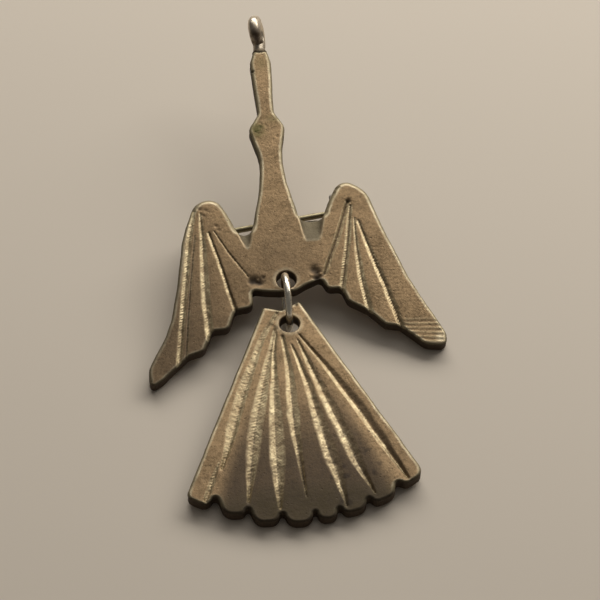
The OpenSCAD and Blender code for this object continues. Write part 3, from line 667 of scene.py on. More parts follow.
def bird_extras(flat, z, rub_and_sheen, cut, dark, stain):
    """File ridges on the right wing tip, and the stained and stepped head."""
    x, y = flat.T
    along = y + 0.1 * (x - 18)
    zone = smooth(14.6, 16.2, x) * (1 - smooth(20.6, 21.4, x)) * (1 - smooth(-8.6, -6.9, along))
    phase = along / 0.7 + 0.25 * waves(x, y, 1.4, 71)
    ridge = 0.5 + 0.5 * np.cos(2 * np.pi * phase)
    strength = zone * (0.75 + 0.35 * waves(x, y, 1.5, 72))
    z = z - 0.06 * strength * (1 - ridge)
    faint = smooth(11.5, 12.5, x) * smooth(-7.5, -6.0, along) * (1 - smooth(3.0, 6.0, along))
    z = z - 0.012 * faint * (0.5 + 0.5 * np.cos(2 * np.pi * along / 0.55))
    cut = np.maximum(cut, 0.5 * strength * ridge ** 2)
    dark = dark + 0.25 * strength * (1 - ridge)
    # the lower left and the lower body are painted darker: painted shade where the light falls off, and tarnish
    away = smooth(5, 24, -x + 0.5 * (8 - y))
    dark = dark + 0.5 * away * (1 - cut)
    low_body = np.exp(-((x + 1.0) / 6.0) ** 2 - ((y - 3.0) / 6.0) ** 2)
    dark = dark + 0.24 * low_body * (1 - cut)
    bright_tip = np.exp(-(((x - 20.6) / 0.5) ** 2 + ((y + 11.0) / 0.8) ** 2))
    rub_and_sheen = np.maximum(rub_and_sheen, bright_tip)
    # a low step where the beak meets the head
    step_at = 27.2 + 0.25 * x
    z = z - 0.05 * smooth(-0.25, 0.25, y - step_at) * (1 - smooth(2.5, 5.0, y - step_at))
    dark = dark + 0.2 * np.exp(-((y - step_at) / 0.2) ** 2) * (1 - smooth(1.6, 2.0, np.abs(x)))
    patch = np.exp(-(((x + 1.75) / 0.95) ** 2 + ((y - 25.6) / 1.25) ** 2))
    stain = np.clip(patch * (1.1 + 0.5 * waves(x, y, 0.5, 81)), 0, 1)
    smear = np.exp(-(((x - 0.6) / 1.2) ** 2 + ((y - 27.3) / 0.8) ** 2)) * 0.45
    top = np.exp(-(((x + 0.1) / 1.0) ** 2 + ((y - 37.3) / 1.2) ** 2)) * 0.35
    stain = np.maximum(stain, np.maximum(smear, top))
    # the brow ring round the stained patch
    ring_gap = np.hypot(x + 1.3, y - 25.7)
    z = z - 0.04 * np.exp(-((ring_gap - 0.95) / 0.14) ** 2)
    # the shoulder of the left wing: a broad band outside a scribed line
    gap_line = np.hypot((x + 10.2) / 1.0, (y - 10.0) / 1.0)
    band = smooth(3.2, 3.5, gap_line) * smooth(11.4, 12.2, y) * (1 - smooth(-7.4, -6.6, x))
    z = z - 0.07 * band
    dark = dark + 0.35 * np.exp(-((gap_line - 3.3) / 0.12) ** 2) * smooth(12.0, 12.6, y)
    # thin webs slope down to the back between the neck and each wing
    web = np.zeros(len(flat))
    for (ax, ay), (bx, by), (cx, cy), (dx, dy), low, high in NOTCHES:
        neck_side = ax + (y - ay) * (bx - ax) / (by - ay)
        wing_side = cx + (y - cy) * (dx - cx) / (dy - cy)
        inside = np.minimum(np.abs(x - neck_side), np.abs(x - wing_side))
        between = (x - neck_side) * (x - wing_side) < 0
        inside = np.where(between, inside, -inside)
        slope = np.maximum(y - low, 0) ** 2 / (np.maximum(y - low, 0) + 0.6) * 1.9 / (high - low)
        steep = 4.2 * np.maximum(inside + 0.1, 0) ** 2 / (np.maximum(inside + 0.1, 0) + 0.2)
        down = slope * steep / (slope + steep + 0.02) * 1.12
        down = np.minimum(down, 1.7) * (y < high + 1)
        z = z - down * (1 + 0.05 * waves(x, y, 0.8, 91))
        here = smooth(-0.1, 0.25, inside) * smooth(low - 0.3, low + 0.15, y) * (y < high + 1)
        web = np.maximum(web, here)
        crest = np.exp(-((inside + 0.08) / 0.16) ** 2) * smooth(low - 0.2, low + 0.6, y) * (y < high + 0.5)
        ridge = np.exp(-((y - low - 0.1) / 0.22) ** 2) * smooth(-0.3, 0.2, inside)
        # rubbed metal and a painted highlight along the webs' crests
        rub_and_sheen = np.maximum(rub_and_sheen * (1 - here), 0.55 * np.maximum(crest, ridge))
        # painted shade in the notches between the neck and the wings
        dark = dark + 0.42 * here
    # the lower left of the bird is the darkest: painted shade where the light falls off, and tarnish
    return z, rub_and_sheen, cut, np.clip(dark, 0, 1), stain, web


def tail_extras(flat, z, rub_and_sheen, cut, dark, stain):
    """The tail darkens towards its feather ends."""
    x, y = flat.T
    low = smooth(-8, -24, y)
    inner = 1 - smooth(0.62, 0.8, np.abs(x + 0.6) / (2.2 - 0.5 * y))
    dark = dark + (0.62 * low * inner + 0.1 * low + 0.06 * inner) * (1 - cut)
    spots = np.clip(waves(x, y, 1.7, 201) * waves(x, y, 0.8, 202) * 2.5 - 0.5, 0, 1)
    dark = dark + 0.35 * spots * smooth(-10, -18, y) * smooth(-1, 2, x)
    # the feather ends bend down a little and have gone olive
    bend = smooth(-27.2, -28.2, y + 0.012 * x * x)
    z = z - 0.1 * bend * np.clip((-27.2 - y - 0.012 * x * x) / 3, 0, 1)
    stain = 0.55 * smooth(-24.5, -28.5, y + 0.012 * x * x) * (1 - cut)
    return z, rub_and_sheen, cut, np.clip(dark, 0, 1), stain, 0 * x


# ---- wire pieces ------------------------------------------------------------

def tube(centres, radii, sides, closed, flat_from=None):
    """A round bar along a line of points; radii may change along it."""
    centres = np.asarray(centres, float)
    n = len(centres)
    if closed:
        run = np.roll(centres, -1, axis=0) - np.roll(centres, 1, axis=0)
    else:
        run = np.gradient(centres, axis=0)
    run /= np.linalg.norm(run, axis=1)[:, None]
    guide = np.asarray(flat_from, float)
    side = guide - (run @ guide)[:, None] * run
    side /= np.linalg.norm(side, axis=1)[:, None]
    other = np.cross(run, side)
    turn = 2 * np.pi * np.arange(sides) / sides
    ring = np.cos(turn)[None, :, None] * side[:, None, :] + np.sin(turn)[None, :, None] * other[:, None, :]
    radii = np.asarray(radii, float)
    if radii.ndim == 1:
        radii = np.repeat(radii[:, None], sides, axis=1)
    verts = (centres[:, None, :] + ring * radii[:, :, None]).reshape(-1, 3)
    faces = []
    last = n if closed else n - 1
    for i in range(last):
        a, b = i * sides, ((i + 1) % n) * sides
        for j in range(sides):
            k = (j + 1) % sides
            faces.append((a + j, a + k, b + k, b + j))
    return verts, faces


def cap_ends(verts, faces, sides, rows, bulge):
    """Closes both ends of an open tube with low rounded caps."""
    verts = list(map(np.array, verts))
    for first, way in ((0, -1), ((rows - 1) * sides, 1)):
        ring = np.array(verts[first:first + sides])
        middle = ring.mean(0)
        inner = (rows - 2) * sides if way > 0 else sides
        back = np.array(verts[inner:inner + sides]).mean(0)
        out = (middle - back) / np.linalg.norm(middle - back)
        prev = list(range(first, first + sides))
        for share, lift in ((0.8, 0.55), (0.45, 0.9)):
            start = len(verts)
            for p in ring:
                verts.append(middle + (p - middle) * share + out * bulge * lift)
            now = list(range(start, start + sides))
            for j in range(sides):
                k = (j + 1) % sides
                quad = (prev[j], prev[k], now[k], now[j])
                faces.append(quad if way > 0 else quad[::-1])
            prev = now
        tip = len(verts)
        verts.append(middle + out * bulge)
        for j in range(sides):
            tri = (prev[j], prev[(j + 1) % sides], tip)
            faces.append(tri if way > 0 else tri[::-1])
    return np.array(verts), faces


def joint(name):
    return next(j for j in frame["joints"] if j["name"] == name)


def unit(v):
    v = np.asarray(v, float)
    return v / np.linalg.norm(v)


def mount(name):
    return next(m for m in frame["record"]["mounts"] if m["name"] == name)


def node_size(name):
    low, high = (np.array(c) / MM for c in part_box(name))
    return low, high


def build_jump_ring(sizes):
    """The jump ring: round drawn wire bent to a ring, with its hairline cut."""
    low, high = node_size("jump_ring")
    centre = (low + high) / 2
    wire = (high - low)[0]
    mean_r = (high - low)[2] / 2 - wire / 2
    count = 180
    cut_at = sizes.ring_cut
    slit = 0.035 / mean_r
    turn = cut_at + slit / 2 + (2 * np.pi - slit) * np.arange(count) / (count - 1)
    line = centre + np.column_stack([0 * turn, np.cos(turn) * mean_r, np.sin(turn) * mean_r])
    s = turn * mean_r
    sides = 32
    radii = np.full((count, sides), wire / 2 * 0.992)
    around = np.arange(sides) / sides * 7
    for j in range(sides):
        radii[:, j] += 0.004 * waves(s, s * 0 + around[j], 1.2, 301) - 0.004
    # the pliers left two faint flats beside the cut
    for place in (0.06, 0.94):
        t = np.arange(count) / (count - 1)
        nip = np.exp(-((t - place) / 0.02) ** 2)
        radii[:, : sides // 4] -= 0.012 * nip[:, None]
    verts, faces = tube(line, radii, sides, False, flat_from=(1, 0, 0))
    verts, faces = cap_ends(verts, faces, sides, count, 0.004)
    ring = new_piece("jump_ring_wire", verts * MM, faces, "link", "ring_wire", "jump_ring")
    wear = np.zeros(len(verts))
    add_floats(ring.data, worn=wear)
    return ring


def bail_axes():
    """The bail's centre and its three directions: out to the side, up, and through."""
    eye = mount("bail_eye")
    centre = np.array(eye["pos_m"]) / MM
    through = unit(eye["axis"])
    bird = Plate(NODES["bird_casting"])
    up = unit(bird.v - (bird.v @ through) * through)
    side = np.cross(up, through)
    return centre, side, up, through, bird


def build_bail(sizes):
    """The bail: a heavy loop that thins towards its soldered foot, and its collar."""
    centre, side, up, through, bird = bail_axes()
    beak = bird.outline[:, 1].max()
    foot_drop = (centre / 1.0 @ bird.v) - (bird.centre[1] + beak)
    eye_r = mount("bail_eye")["dims"]["r_mm"]
    low, high = node_size("bail_loop")
    outer_r = sizes.bail_outer / MM / 2
    count, sides = 120, 36
    turn = 2 * np.pi * np.arange(count) / count
    if side @ bird.n < 0:
        side = -side
    # heaviest between the front and the top, lightest behind the foot
    heavy = 0.5 + 0.5 * np.cos(turn - math.radians(100))
    wire_r = 0.66 + 0.3 * heavy ** 0.5
    mean_r = outer_r - wire_r - 0.02
    place = np.column_stack([np.sin(turn) * mean_r, -np.cos(turn) * mean_r])
    line = centre + place[:, :1] * side + place[:, 1:] * up
    around = 2 * np.pi * np.arange(sides) / sides
    radii = np.repeat(wire_r[:, None], sides, axis=1)
    s = turn * outer_r
    for j in range(sides):
        radii[:, j] += 0.02 * waves(s, s * 0 + j * 0.2, 1.6, 331)
        radii[:, j] *= 1 - 0.06 * max(0.0, math.cos(around[j])) ** 2
    verts, faces = tube(line, radii, sides, True, flat_from=through)
    piece = new_piece("bail_wire", verts * MM, faces, "brooch", "ring_wire")
    # the loop is darker towards its foot
    up_share = ((verts - centre) @ up) / outer_r
    dark = np.clip(0.5 - 0.9 * up_share, 0, 1) ** 1.5
    add_floats(piece.data, worn=dark)
    # the foot: a short post that spreads over the end of the beak
    rows, sides = 26, 32
    t = np.arange(rows) / (rows - 1)
    top = centre - up * (outer_r - 0.75)
    bottom = centre - up * (foot_drop + 0.22)
    post = top + (bottom - top) * t[:, None]
    post_r = 0.86 + 0.04 * t + 0.12 * smooth(0.45, 0.86, t)
    radii = np.repeat(post_r[:, None], sides, axis=1)
    for j in range(sides):
        lump = waves(t * 2.4, t * 0 + j * 0.35, 0.7, 351)
        radii[:, j] *= 1 + 0.07 * lump * smooth(0.2, 0.7, t)
    verts, faces = tube(post, radii, sides, False, flat_from=through)
    verts, faces = cap_ends(verts, faces, sides, rows, 0.1)
    foot = new_piece("bail_foot", verts * MM, faces, "brooch", "ring_wire", "bail_loop")
    # the foot is darker towards the beak
    down = ((centre - verts) @ up) / (foot_drop + 0.3)
    add_floats(foot.data, worn=np.clip(down * 1.3 - 0.3, 0, 1))
    # the collar of solder, uneven and slightly slumped over the beak's end
    rows, sides = 18, 40
    t = np.arange(rows) / (rows - 1)
    line = centre - up * (foot_drop - 0.5) + (-up) * (0.95 * t[:, None])
    collar_r = 0.76 + 0.3 * np.sin(np.pi * np.clip(t * 0.85 + 0.05, 0, 1)) ** 0.8
    radii = np.repeat(collar_r[:, None], sides, axis=1)
    for j in range(sides):
        around = j / sides * 6.0
        radii[:, j] *= 1 + 0.09 * waves(t * 1.6 + 3, t * 0 + around, 0.9, 361)
    verts, faces = tube(line, radii, sides, False, flat_from=through)
    verts, faces = cap_ends(verts, faces, sides, rows, 0.05)
    collar = new_piece("bail_solder_collar", verts * MM, faces, "brooch", "solder", "bail_solder")
    add_floats(collar.data, worn=np.full(len(verts), 0.7))
    return piece, foot, collar


def bevelled_copy(name, node_name, body, slot, width, segments=3):
    """A copy of a CAD solid with its sharp edges eased, which stands for that node."""
    co, tri = mesh_arrays(NODES[node_name])
    bm = bmesh.new()
    points = [bm.verts.new(p) for p in co]
    for t in tri:
        try:
            bm.faces.new([points[i] for i in t])
        except ValueError:
            continue
    bmesh.ops.dissolve_limit(bm, angle_limit=math.radians(1.0), verts=bm.verts, edges=bm.edges)
    sharp = [e for e in bm.edges if len(e.link_faces) == 2 and e.calc_face_angle(0) > math.radians(32)]
    bmesh.ops.bevel(bm, geom=sharp, offset=width, segments=segments, affect="EDGES",
                    profile=0.5, clamp_overlap=True)
    bmesh.ops.triangulate(bm, faces=bm.faces)
    bmesh.ops.remove_doubles(bm, verts=bm.verts, dist=1e-4)
    for f in bm.faces:
        f.smooth = True
    for e in bm.edges:
        e.smooth = len(e.link_faces) != 2 or e.calc_face_angle(0) < math.radians(38)
    bmesh.ops.scale(bm, vec=(MM, MM, MM), verts=bm.verts)
    mesh = bpy.data.meshes.new(name)
    bm.to_mesh(mesh)
    bm.free()
    piece = bpy.data.objects.new(name, mesh)
    bpy.context.scene.collection.objects.link(piece)
    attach(piece, body)
    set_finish(piece, slot)
    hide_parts(node_name)
    return piece


def build_findings(sizes):
    """The hinge, rivet, stem, catch, turning lock and both pads of solder."""
    hinge = joint("stem_open")
    latch = joint("latch_turn")
    pivot = np.array(hinge["pos_m"]) / MM
    across = unit(hinge["axis"])
    catch = np.array(latch["pos_m"]) / MM
    along = unit(catch - pivot)
    away = np.cross(across, along)
    bird = Plate(NODES["bird_casting"])
    if away @ bird.n > 0:
        away = -away
    pieces = [
        bevelled_copy("pin_hinge", "pin_joint", "brooch", "findings", 0.07),
        bevelled_copy("catch_housing", "catch_barrel", "brooch", "findings", 0.05),
        bevelled_copy("catch_sleeve", "catch_lock", "latch", "findings", 0.035),
    ]
    # rivet: a shank with two domed heads
    low, high = node_size("joint_rivet")
    co, _ = mesh_arrays(NODES["joint_rivet"])
    reach = np.abs((co - pivot) @ across).max()
    gap = np.linalg.norm(np.cross(co - pivot, across), axis=1)
    head_r = gap.max()
    shank_r = gap.min() if gap.min() > 0.2 else head_r * 0.7
    head_h = 0.3
    s = np.array([-1, -0.97, -0.9, -0.8, -0.72, -0.7, 0.7, 0.72, 0.8, 0.9, 0.97, 1.0])
    edge = reach - head_h
    places = [-reach, -reach + 0.03, -reach + 0.1, -reach + 0.2, -edge - 0.02, -edge,
              edge, edge + 0.02, reach - 0.2, reach - 0.1, reach - 0.03, reach]
    radii = [head_r * f for f in (0.3, 0.66, 0.92, 1.0, 1.0)] + [shank_r, shank_r]
    radii += [head_r * f for f in (1.0, 1.0, 0.92, 0.66, 0.3)]
    line = pivot + np.array(places)[:, None] * across
    verts, faces = tube(line, radii, 36, False, flat_from=along)
    verts, faces = cap_ends(verts, faces, 36, len(places), 0.01)
    rivet = new_piece("hinge_rivet", verts * MM, faces, "brooch", "findings", "joint_rivet")
    pieces.append(rivet)
    # stem: rolled eye and drawn wire, ground to a point
    co, _ = mesh_arrays(NODES["pin_stem"])
    length = ((co - pivot) @ along).max()
    wire_r = mount("pin_wire")["dims"]["r_mm"]
    eye_gap = np.linalg.norm(np.cross(co - pivot, across), axis=1)
    eye_in = eye_gap[np.abs((co - pivot) @ along) < 2].min()
    eye_out = np.abs((co - pivot) @ along)[(co - pivot) @ along < 0].max()
    half = np.abs((co - pivot) @ across).max() * 0.98
    wind_r = (eye_in + eye_out) / 2
    bar = (eye_out - eye_in) / 2
    # the eye: the wire's end rolled once round the rivet
    count, sides = 72, 24
    turn = np.linspace(0, 2 * np.pi, count, endpoint=False)
    line = pivot + np.cos(turn)[:, None] * along * wind_r + np.sin(turn)[:, None] * away * wind_r
    radii = np.zeros((count, sides))
    around = 2 * np.pi * np.arange(sides) / sides
    # an oval section: wide across the hinge, thin between rivet and rim
    oval = 1 / np.sqrt((np.cos(around) / half) ** 2 + (np.sin(around) / (bar * 0.97)) ** 2)
    radii[:] = oval[None, :]
    verts, faces = tube(line, radii, sides, True, flat_from=across)
    eye = new_piece("stem_eye", verts * MM, faces, "stem", "steel_wire", "pin_stem")
    pieces.append(eye)
    rows, sides = 150, 24
    x = np.r_[np.linspace(eye_in + 0.25, length - 3.2, rows - 50), np.linspace(length - 3.1, length, 50)]
    taper = np.clip((length - x) / 3.1, 0, 1)
    r = wire_r * np.where(x > length - 3.1, 0.09 + 0.79 * taper ** 0.8, 0.99)
    thin = smooth(length - 6.6, length - 3.1, x)
    r = np.where(x <= length - 3.1, wire_r * (0.99 - 0.11 * thin), r)
    radii = np.repeat(r[:, None], sides, axis=1)
    for j in range(sides):
        radii[:, j] *= 1 + 0.012 * waves(x, x * 0 + j * 0.5, 0.9, 401) * smooth(length - 3.3, length - 2.8, x)
    line = pivot + x[:, None] * along
    verts, faces = tube(line, radii, sides, False, flat_from=across)
    verts, faces = cap_ends(verts, faces, sides, rows, 0.02)
    stem = new_piece("stem_wire", verts * MM, faces, "stem", "steel_wire")
    pieces.append(stem)
    # solder pads with a slumped, uneven edge
    for node_name, name in (("joint_solder", "hinge_solder"), ("catch_solder", "catch_solder_pad")):
        co, _ = mesh_arrays(NODES[node_name])
        middle = (co.max(0) + co.min(0)) / 2
        a = co @ along
        c = co @ across
        d = co @ away
        centre = along * (a.max() + a.min()) / 2 + across * (c.max() + c.min()) / 2
        half_a, half_c = (a.max() - a.min()) / 2, (c.max() - c.min()) / 2
        base, top = d.min(), d.max()
        rings, sides = 9, 72
        turn = 2 * np.pi * np.arange(sides) / sides
        box = 1 / np.maximum(np.abs(np.cos(turn)) ** 5 + np.abs(np.sin(turn)) ** 5, 1e-9) ** 0.2
        edge = box * (1 + 0.05 * waves(turn * 3, turn * 0, 1.0, 421 + len(name)))
        verts, faces = [], []
        for k in range(rings):
            t = k / (rings - 1)
            share = 1 - 0.16 * t ** 2
            lift = base - 0.04 + (top - base + 0.05) * math.sin(t * math.pi / 2)
            for j in range(sides):
                verts.append(centre + along * half_a * share * edge[j] * math.cos(turn[j])
                             + across * half_c * share * edge[j] * math.sin(turn[j]) + away * lift)
        for k in range(rings - 1):
            for j in range(sides):
                m = (j + 1) % sides
                faces.append((k * sides + j, k * sides + m, (k + 1) * sides + m, (k + 1) * sides + j))
        faces.append(tuple(range((rings - 1) * sides, rings * sides)))
        faces.append(tuple(range(sides - 1, -1, -1)))
        pad = new_piece(name, np.array(verts) * MM, faces, "brooch", "solder", node_name)
        add_floats(pad.data, worn=np.full(len(verts), 0.35))
        pieces.append(pad)
    for p in pieces:
        if "worn" not in p.data.attributes:
            add_floats(p.data, worn=np.full(len(p.data.vertices), 0.2))
        fix_normals(p)
    return pieces


def fix_normals(piece):
    """Turns every face of a closed piece outwards."""
    bm = bmesh.new()
    bm.from_mesh(piece.data)
    bmesh.ops.recalc_face_normals(bm, faces=bm.faces)
    bm.to_mesh(piece.data)
    bm.free()


# ---- materials --------------------------------------------------------------

def socket(tree, name, kind, output=False, value=None):
    made = tree.interface.new_socket(
        name=name, in_out="OUTPUT" if output else "INPUT", socket_type=kind)
    if value is not None:
        made.default_value = value
    return made


class Graph:
    """Short names for adding and joining shader nodes."""

    def __init__(self, tree):
        self.tree = tree

    def node(self, kind, inputs=None, **settings):
        made = self.tree.nodes.new(kind)
        for key, value in settings.items():
            setattr(made, key, value)
        for key, value in (inputs or {}).items():
            self.put(made.inputs[key], value)
        return made

    def put(self, where, value):
        if isinstance(value, bpy.types.NodeSocket):
            self.tree.links.new(value, where)
        else:
            where.default_value = value

    def math(self, how, a, b=0.0, clamp=False):
        made = self.node("ShaderNodeMath", operation=how, use_clamp=clamp)
        self.put(made.inputs[0], a)
        self.put(made.inputs[1], b)
        return made.outputs[0]

    def mix(self, share, a, b, blend="MIX"):
        made = self.node("ShaderNodeMix", data_type="RGBA", blend_type=blend)
        made.clamp_factor = True
        self.put(made.inputs[0], share)
        self.put(made.inputs[6], a)
        self.put(made.inputs[7], b)
        return made.outputs[2]

    def span(self, value, low, high, to_low=0.0, to_high=1.0):
        made = self.node("ShaderNodeMapRange", interpolation_type="SMOOTHSTEP")
        self.put(made.inputs["Value"], value)
        made.inputs["From Min"].default_value = low
        made.inputs["From Max"].default_value = high
        made.inputs["To Min"].default_value = to_low
        made.inputs["To Max"].default_value = to_high
        return made.outputs["Result"]

    def noise(self, at, scale, detail=3.0, rough=0.55, squash=None):
        if squash is not None:
            at = self.node("ShaderNodeMapping", {"Vector": at, "Scale": squash}).outputs[0]
        made = self.node("ShaderNodeTexNoise", {"Vector": at, "Scale": scale, "Detail": detail,
                                                "Roughness": rough})
        return made.outputs["Fac"]

    def group(self, tree, **inputs):
        made = self.tree.nodes.new("ShaderNodeGroup")
        made.node_tree = tree
        for key, value in inputs.items():
            self.put(made.inputs[key.replace("_", " ")], value)
        return made


def new_group(name, inputs, outputs):
    tree = bpy.data.node_groups.new(name, "ShaderNodeTree")
    for key, kind, value in inputs:
        socket(tree, key, kind, value=value)
    for key, kind in outputs:
        socket(tree, key, kind, output=True)
    g = Graph(tree)
    entry = tree.nodes.new("NodeGroupInput")
    leave = tree.nodes.new("NodeGroupOutput")
    return tree, g, entry.outputs, leave.inputs


FLOAT, COLOR, VECTOR = "NodeSocketFloat", "NodeSocketColor", "NodeSocketVector"


def cast_grain_group():
    """Sandy grain of a cast skin: a height for bump, a tone and small pits."""
    tree, g, given, out = new_group(
        "Cast grain",
        [("Place", VECTOR, None), ("Size", FLOAT, 1.0), ("Pits", FLOAT, 0.5)],
        [("Height", FLOAT), ("Tone", FLOAT), ("Pit Mask", FLOAT)])
    at = g.node("ShaderNodeVectorMath", {0: given["Place"]}, operation="SCALE")
    g.put(at.inputs["Scale"], given["Size"])
    at = at.outputs[0]
    fine = g.noise(at, 7000.0, 4.0, 0.62)
    sand = g.noise(at, 2600.0, 3.0, 0.6)
    broad = g.noise(at, 420.0, 3.0, 0.55)
    cells = g.node("ShaderNodeTexVoronoi", {"Vector": at, "Scale": 1500.0, "Randomness": 1.0},
                   feature="F1", distance="EUCLIDEAN")
    seed = g.noise(at, 900.0, 2.0, 0.5)
    pit = g.span(cells.outputs["Distance"], 0.06, 0.26, 1.0, 0.0)
    pit = g.math("MULTIPLY", pit, g.span(seed, 0.52, 0.66))
    pit = g.math("MULTIPLY", pit, given["Pits"])
    height = g.math("ADD", g.math("MULTIPLY", fine, 0.4), g.math("MULTIPLY", sand, 0.6))
    height = g.math("SUBTRACT", height, g.math("MULTIPLY", pit, 0.8))
    g.put(out["Height"], height)
    g.put(out["Tone"], g.math("ADD", g.math("MULTIPLY", broad, 0.35), g.math("MULTIPLY", sand, 0.65)))
    g.put(out["Pit Mask"], pit)
    return tree


def rubbed_group():
    """Breaks a modelled mask of wear, clean metal and painted highlight up, so that it shows in patches."""
    tree, g, given, out = new_group(
        "Rubbed metal",
        [("Place", VECTOR, None), ("Mask", FLOAT, 0.0), ("Amount", FLOAT, 1.0)],
        [("Mask", FLOAT), ("Scratches", FLOAT)])
    patchy = g.noise(given["Place"], 1500.0, 4.0, 0.65)
    wide = g.noise(given["Place"], 380.0, 2.0, 0.5)
    both = g.math("ADD", g.math("MULTIPLY", patchy, 0.55), g.math("MULTIPLY", wide, 0.45))
    keep = g.span(both, 0.28, 0.62, 0.35, 1.0)
    mask = g.math("MULTIPLY", g.math("MULTIPLY", given["Mask"], keep), given["Amount"], clamp=True)
    hairs = g.noise(given["Place"], 900.0, 5.0, 0.7, squash=(6.0, 0.5, 1.0))
    g.put(out["Mask"], mask)
    g.put(out["Scratches"], g.span(hairs, 0.55, 0.75))
    return tree


def tarnish_group():
    """Uneven tarnish: where the metal has gone dull, and its dark speckle."""
    tree, g, given, out = new_group(
        "Tarnish",
        [("Place", VECTOR, None), ("Depth", FLOAT, 0.5), ("Speckle", FLOAT, 0.3)],
        [("Mask", FLOAT), ("Specks", FLOAT)])
    clouds = g.noise(given["Place"], 260.0, 4.0, 0.6)
    mottle = g.noise(given["Place"], 950.0, 3.0, 0.6)
    both = g.math("ADD", g.math("MULTIPLY", clouds, 0.6), g.math("MULTIPLY", mottle, 0.4))
    mask = g.math("MULTIPLY", g.span(both, 0.36, 0.66), given["Depth"], clamp=True)
    specks = g.math("MULTIPLY", g.span(g.noise(given["Place"], 3600.0, 2.0, 0.5), 0.58, 0.72),
                    given["Speckle"], clamp=True)
    g.put(out["Mask"], mask)
    g.put(out["Specks"], specks)
    return tree


def drawn_wire_group():
    """Fine draw lines and nicks of round wire, as a height and a roughness mask."""
    tree, g, given, out = new_group(
        "Drawn wire",
        [("Place", VECTOR, None), ("Nicks", FLOAT, 0.4)],
        [("Height", FLOAT), ("Dull", FLOAT)])
    lines = g.noise(given["Place"], 5200.0, 4.0, 0.7)
    dents = g.noise(given["Place"], 1100.0, 2.0, 0.5)
    nick = g.math("MULTIPLY", g.span(dents, 0.6, 0.72), given["Nicks"])
    g.put(out["Height"], g.math("SUBTRACT", g.math("MULTIPLY", lines, 0.35), nick))
    g.put(out["Dull"], g.noise(given["Place"], 700.0, 3.0, 0.6))
    return tree


GROUPS = {}


def groups():
    if not GROUPS:
        GROUPS["grain"] = cast_grain_group()
        GROUPS["rubbed"] = rubbed_group()
        GROUPS["tarnish"] = tarnish_group()
        GROUPS["wire"] = drawn_wire_group()
    return GROUPS


def start_material(name):
    material = bpy.data.materials.new(name)
    material.use_nodes = True
    tree = material.node_tree
    tree.nodes.clear()
    g = Graph(tree)
    skin = g.node("ShaderNodeBsdfPrincipled")
    end = g.node("ShaderNodeOutputMaterial")
    tree.links.new(skin.outputs[0], end.inputs["Surface"])
    at = g.node("ShaderNodeTexCoord").outputs["Object"]
    return material, g, skin, at


def rgb(color):
    return (*tuple(color)[:3], 1.0)


def pewter_material(name, colors, shade, rub_amount, cut_amount):
    """Antiqued cast pewter: grain, tarnish, dark patina in recesses, painted shade on walls and down-facing edges,
    rubbed edges and clean grooves with painted highlights, and a painted sheen on the rounded edges.
    """
    made = groups()
    material, g, skin, at = start_material(name)
    field = {}
    for key in ("rub_and_sheen", "cut", "dark", "stain", "wall", "rim"):
        field[key] = g.node("ShaderNodeAttribute", attribute_name=key,
                            attribute_type="GEOMETRY").outputs["Fac"]
    grain = g.group(made["grain"], Place=at, Size=1.0, Pits=0.7)
    tarnish = g.group(made["tarnish"], Place=at, Depth=0.8, Speckle=0.5)
    rubbed = g.group(made["rubbed"], Place=at, Mask=field["rub_and_sheen"], Amount=rub_amount)
    cut = g.group(made["rubbed"], Place=at, Mask=field["cut"], Amount=cut_amount)
    base = tuple(c * shade for c in tuple(colors.pewter)[:3]) + (1.0,)
    dull = tuple(c * shade for c in tuple(colors.tarnish)[:3]) + (1.0,)
    color = g.mix(tarnish.outputs["Mask"], base, dull)
    sand = g.span(grain.outputs["Tone"], 0.34, 0.66)
    color = g.mix(g.math("MULTIPLY", sand, 0.62), color, rgb([c * 1.75 for c in tuple(base)[:3]]))
    # a painted sheen on the rounded edges and the webs
    color = g.mix(g.math("MULTIPLY", field["rim"], 0.75), color, rgb(colors.rim))
    color = g.mix(tarnish.outputs["Specks"], color, rgb(colors.patina_and_shade))
    # grooves: clean cut metal with a painted highlight on the slopes that face the light
    color = g.mix(g.math("MULTIPLY", cut.outputs["Mask"], 0.95), color, rgb(colors.cut_metal_and_sheen))
    # rubbed edges: worn bright metal with a painted highlight on the edge crests
    color = g.mix(g.math("MULTIPLY", rubbed.outputs["Mask"], 0.85), color, rgb(colors.rubbed))
    green = g.math("MULTIPLY", field["stain"], g.span(grain.outputs["Tone"], 0.32, 0.6, 0.35, 1.0))
    color = g.mix(green, color, rgb(colors.stain))
    dark = g.math("MAXIMUM", field["dark"], g.math("MULTIPLY", grain.outputs["Pit Mask"], 0.7))
    # side walls painted nearly black: painted shade
    dark = g.math("MAXIMUM", dark, g.math("MULTIPLY", field["wall"], 0.96))
    # towards the dark colour: patina in recesses and painted shade
    color = g.mix(g.math("MULTIPLY", dark, 0.9), color, rgb(colors.patina_and_shade))
    g.put(skin.inputs["Base Color"], color)
    rough = g.math("ADD", g.math("MULTIPLY", sand, 0.08), 0.44)
    rough = g.math("SUBTRACT", rough, g.math("MULTIPLY", rubbed.outputs["Mask"], 0.08))
    rough = g.math("SUBTRACT", rough, g.math("MULTIPLY", cut.outputs["Mask"], 0.06))
    rough = g.math("ADD", rough, g.math("MULTIPLY", field["rim"], 0.12))
    rough = g.math("ADD", rough, g.math("MULTIPLY", dark, 0.25))
    rough = g.math("ADD", rough, g.math("MULTIPLY", green, 0.2), clamp=True)
    g.put(skin.inputs["Roughness"], rough)
    metal = g.math("SUBTRACT", 0.92, g.math("MULTIPLY", dark, 0.5))
    metal = g.math("SUBTRACT", metal, g.math("MULTIPLY", green, 0.45), clamp=True)
    g.put(skin.inputs["Metallic"], metal)
    file_marks = g.noise(at, 1400.0, 3.0, 0.6, squash=(1.0, 1.0, 7.0))
    height = g.math("ADD", grain.outputs["Height"],
                    g.math("MULTIPLY", g.math("MULTIPLY", file_marks, field["wall"]), 1.2))
    height = g.math("SUBTRACT", height, g.math("MULTIPLY", rubbed.outputs["Scratches"], 0.2))
    bump = g.node("ShaderNodeBump", {"Height": height, "Strength": 0.8, "Distance": 0.00008})
    g.put(skin.inputs["Normal"], bump.outputs[0])
    return material


